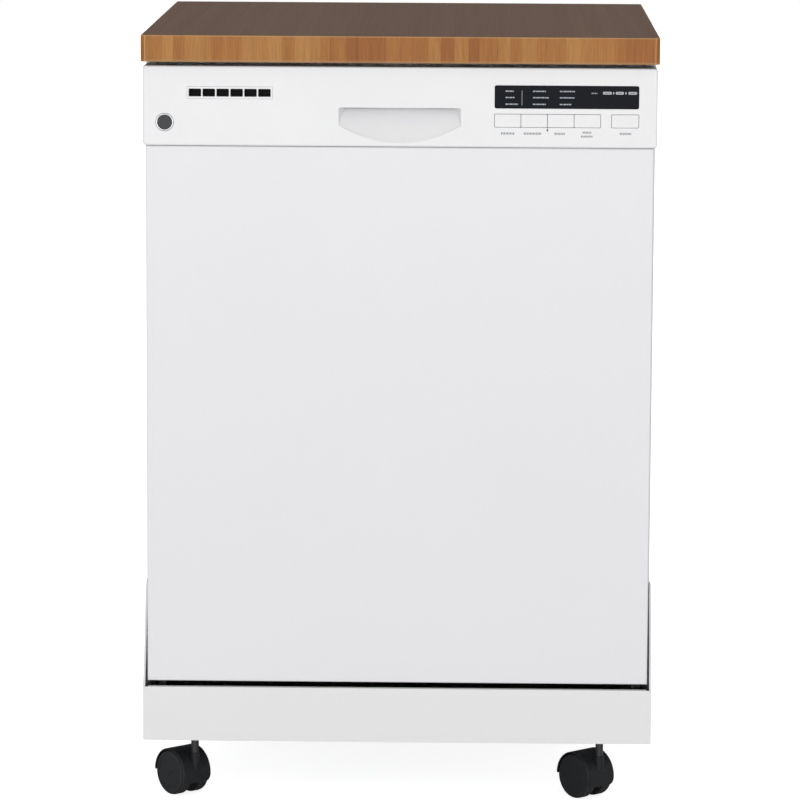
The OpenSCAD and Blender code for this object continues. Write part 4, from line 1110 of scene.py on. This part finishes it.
def rail_section(side, inner_x, outer_x, mid_z, reach, sheet):
    """The upper rack's side rail, open outwards round its rollers, as points in the XZ plane."""
    low, high = mid_z - reach - sheet, mid_z + reach + sheet
    points = [(inner_x, low + 1.5), (inner_x + 0.4, low + 0.4), (inner_x + 1.5, low), (outer_x, low),
              (outer_x, low + sheet), (inner_x + sheet, low + sheet), (inner_x + sheet, high - sheet),
              (outer_x, high - sheet), (outer_x, high), (inner_x + 1.5, high), (inner_x + 0.4, high - 0.4),
              (inner_x, high - 1.5)]
    return [(side * x, z) for x, z in points]


def racks():
    """Both racks; the upper one carries the two rails that its rollers run in."""
    _, lower_high = edges_mm("lower_rack")
    lower = rack("lower_rack", lower_high.x - 5.5, (1, 3, 6, 8), 85, 2)
    stand_in(join("lower_rack_basket", lower), "lower_rack")
    upper_low, upper_high = edges_mm("upper_rack")
    roller_low, roller_high = edges_mm("rack_rollers")
    roller_z = (roller_low.z + roller_high.z) / 2
    reach = (roller_high.z - roller_low.z) / 2 + 0.5
    rail_x = upper_high.x - 35.0
    pieces = rack("upper_rack", rail_x - 8.0, (2, 7), 60)
    for side in (-1, 1):
        section = rail_section(side, rail_x - 1.0, upper_high.x, roller_z, reach, 2.0)
        ends = (upper_low.y + 5.5, upper_high.y - 5.5)
        rail = lofted(f"upper_rail_{side + 1}", [[(x, y, z) for x, z in section] for y in ends])
        pieces.append(smooth(rail))
        for y in (ends[0] + 40, (ends[0] + ends[1]) / 2, ends[1] - 40):
            tie = [(side * (rail_x - 9), y, roller_z), (side * rail_x, y, roller_z)]
            pieces.append(tube_piece(f"rail_tie_{side + 1}_{int(y)}", [tie], 3.0))
    stand_in(join("upper_rack_basket", pieces), "upper_rack")


def springs():
    """The two hinge springs, wound round."""
    low, high = edges_mm("door_springs")
    mid_y, mid_z = (low.y + high.y) / 2, (low.z + high.z) / 2
    radius = (high.z - low.z) / 2 - SPRING_WIRE
    inner = high.x - SPRING_WIRE - SPRING_TURNS * SPRING_PITCH
    runs = []
    for side in (-1, 1):
        steps = SPRING_TURNS * 24
        runs.append([(side * (inner + SPRING_PITCH * k / 24), mid_y + radius * math.cos(math.radians(15 * k)),
                      mid_z + radius * math.sin(math.radians(15 * k))) for k in range(steps + 1)])
    stand_in(tube_piece("hinge_coils", runs, SPRING_WIRE), "door_springs")


# ------------------------------------------------------------ the whole machine

make_camera()
make_studio()
make_floor()
worktop()
side_panels()
door_skin()
console()
vent()
display()
buttons()
for corner in CORNERS:
    caster_hood(corner)
    for side in ("left", "right"):
        caster_wheel(corner, side)
racks()
springs()
for node, width in (("kick_panel", 0.5), ("door_liner", 0.9), ("base_frame", 0.6), ("tub", 1.0),
                    ("hose_connector", 0.6), ("dispenser_body", 0.7), ("dispenser_lid", 0.6),
                    ("latch_body", 0.6), ("hinge_brackets", 0.4), ("hinge_arms", 0.4), ("top_rail", 0.5),
                    ("latch_strike", 0.4), ("cutlery_basket", 0.4), ("lower_spray_arm", 1.6),
                    ("upper_spray_arm", 1.6), ("rinse_cap", 0.7), ("float", 1.0), ("door_gasket", 1.8),
                    ("lower_rack_wheels", 0.8), ("rack_manifold", 0.6), ("rack_rollers", 0.8),
                    ("wash_pump", 1.0), ("drain_pump", 1.0), ("inlet_valve", 1.0), ("sump", 0.8),
                    ("control_board", 0.2)):
    dressed(node, width)
for node, finish in NODE_FINISH.items():
    if nodes[node].data.materials:
        nodes[node].data.materials[0] = finish.material
    else:
        nodes[node].data.materials.append(finish.material)

bpy.context.scene.view_settings.view_transform = "Standard"
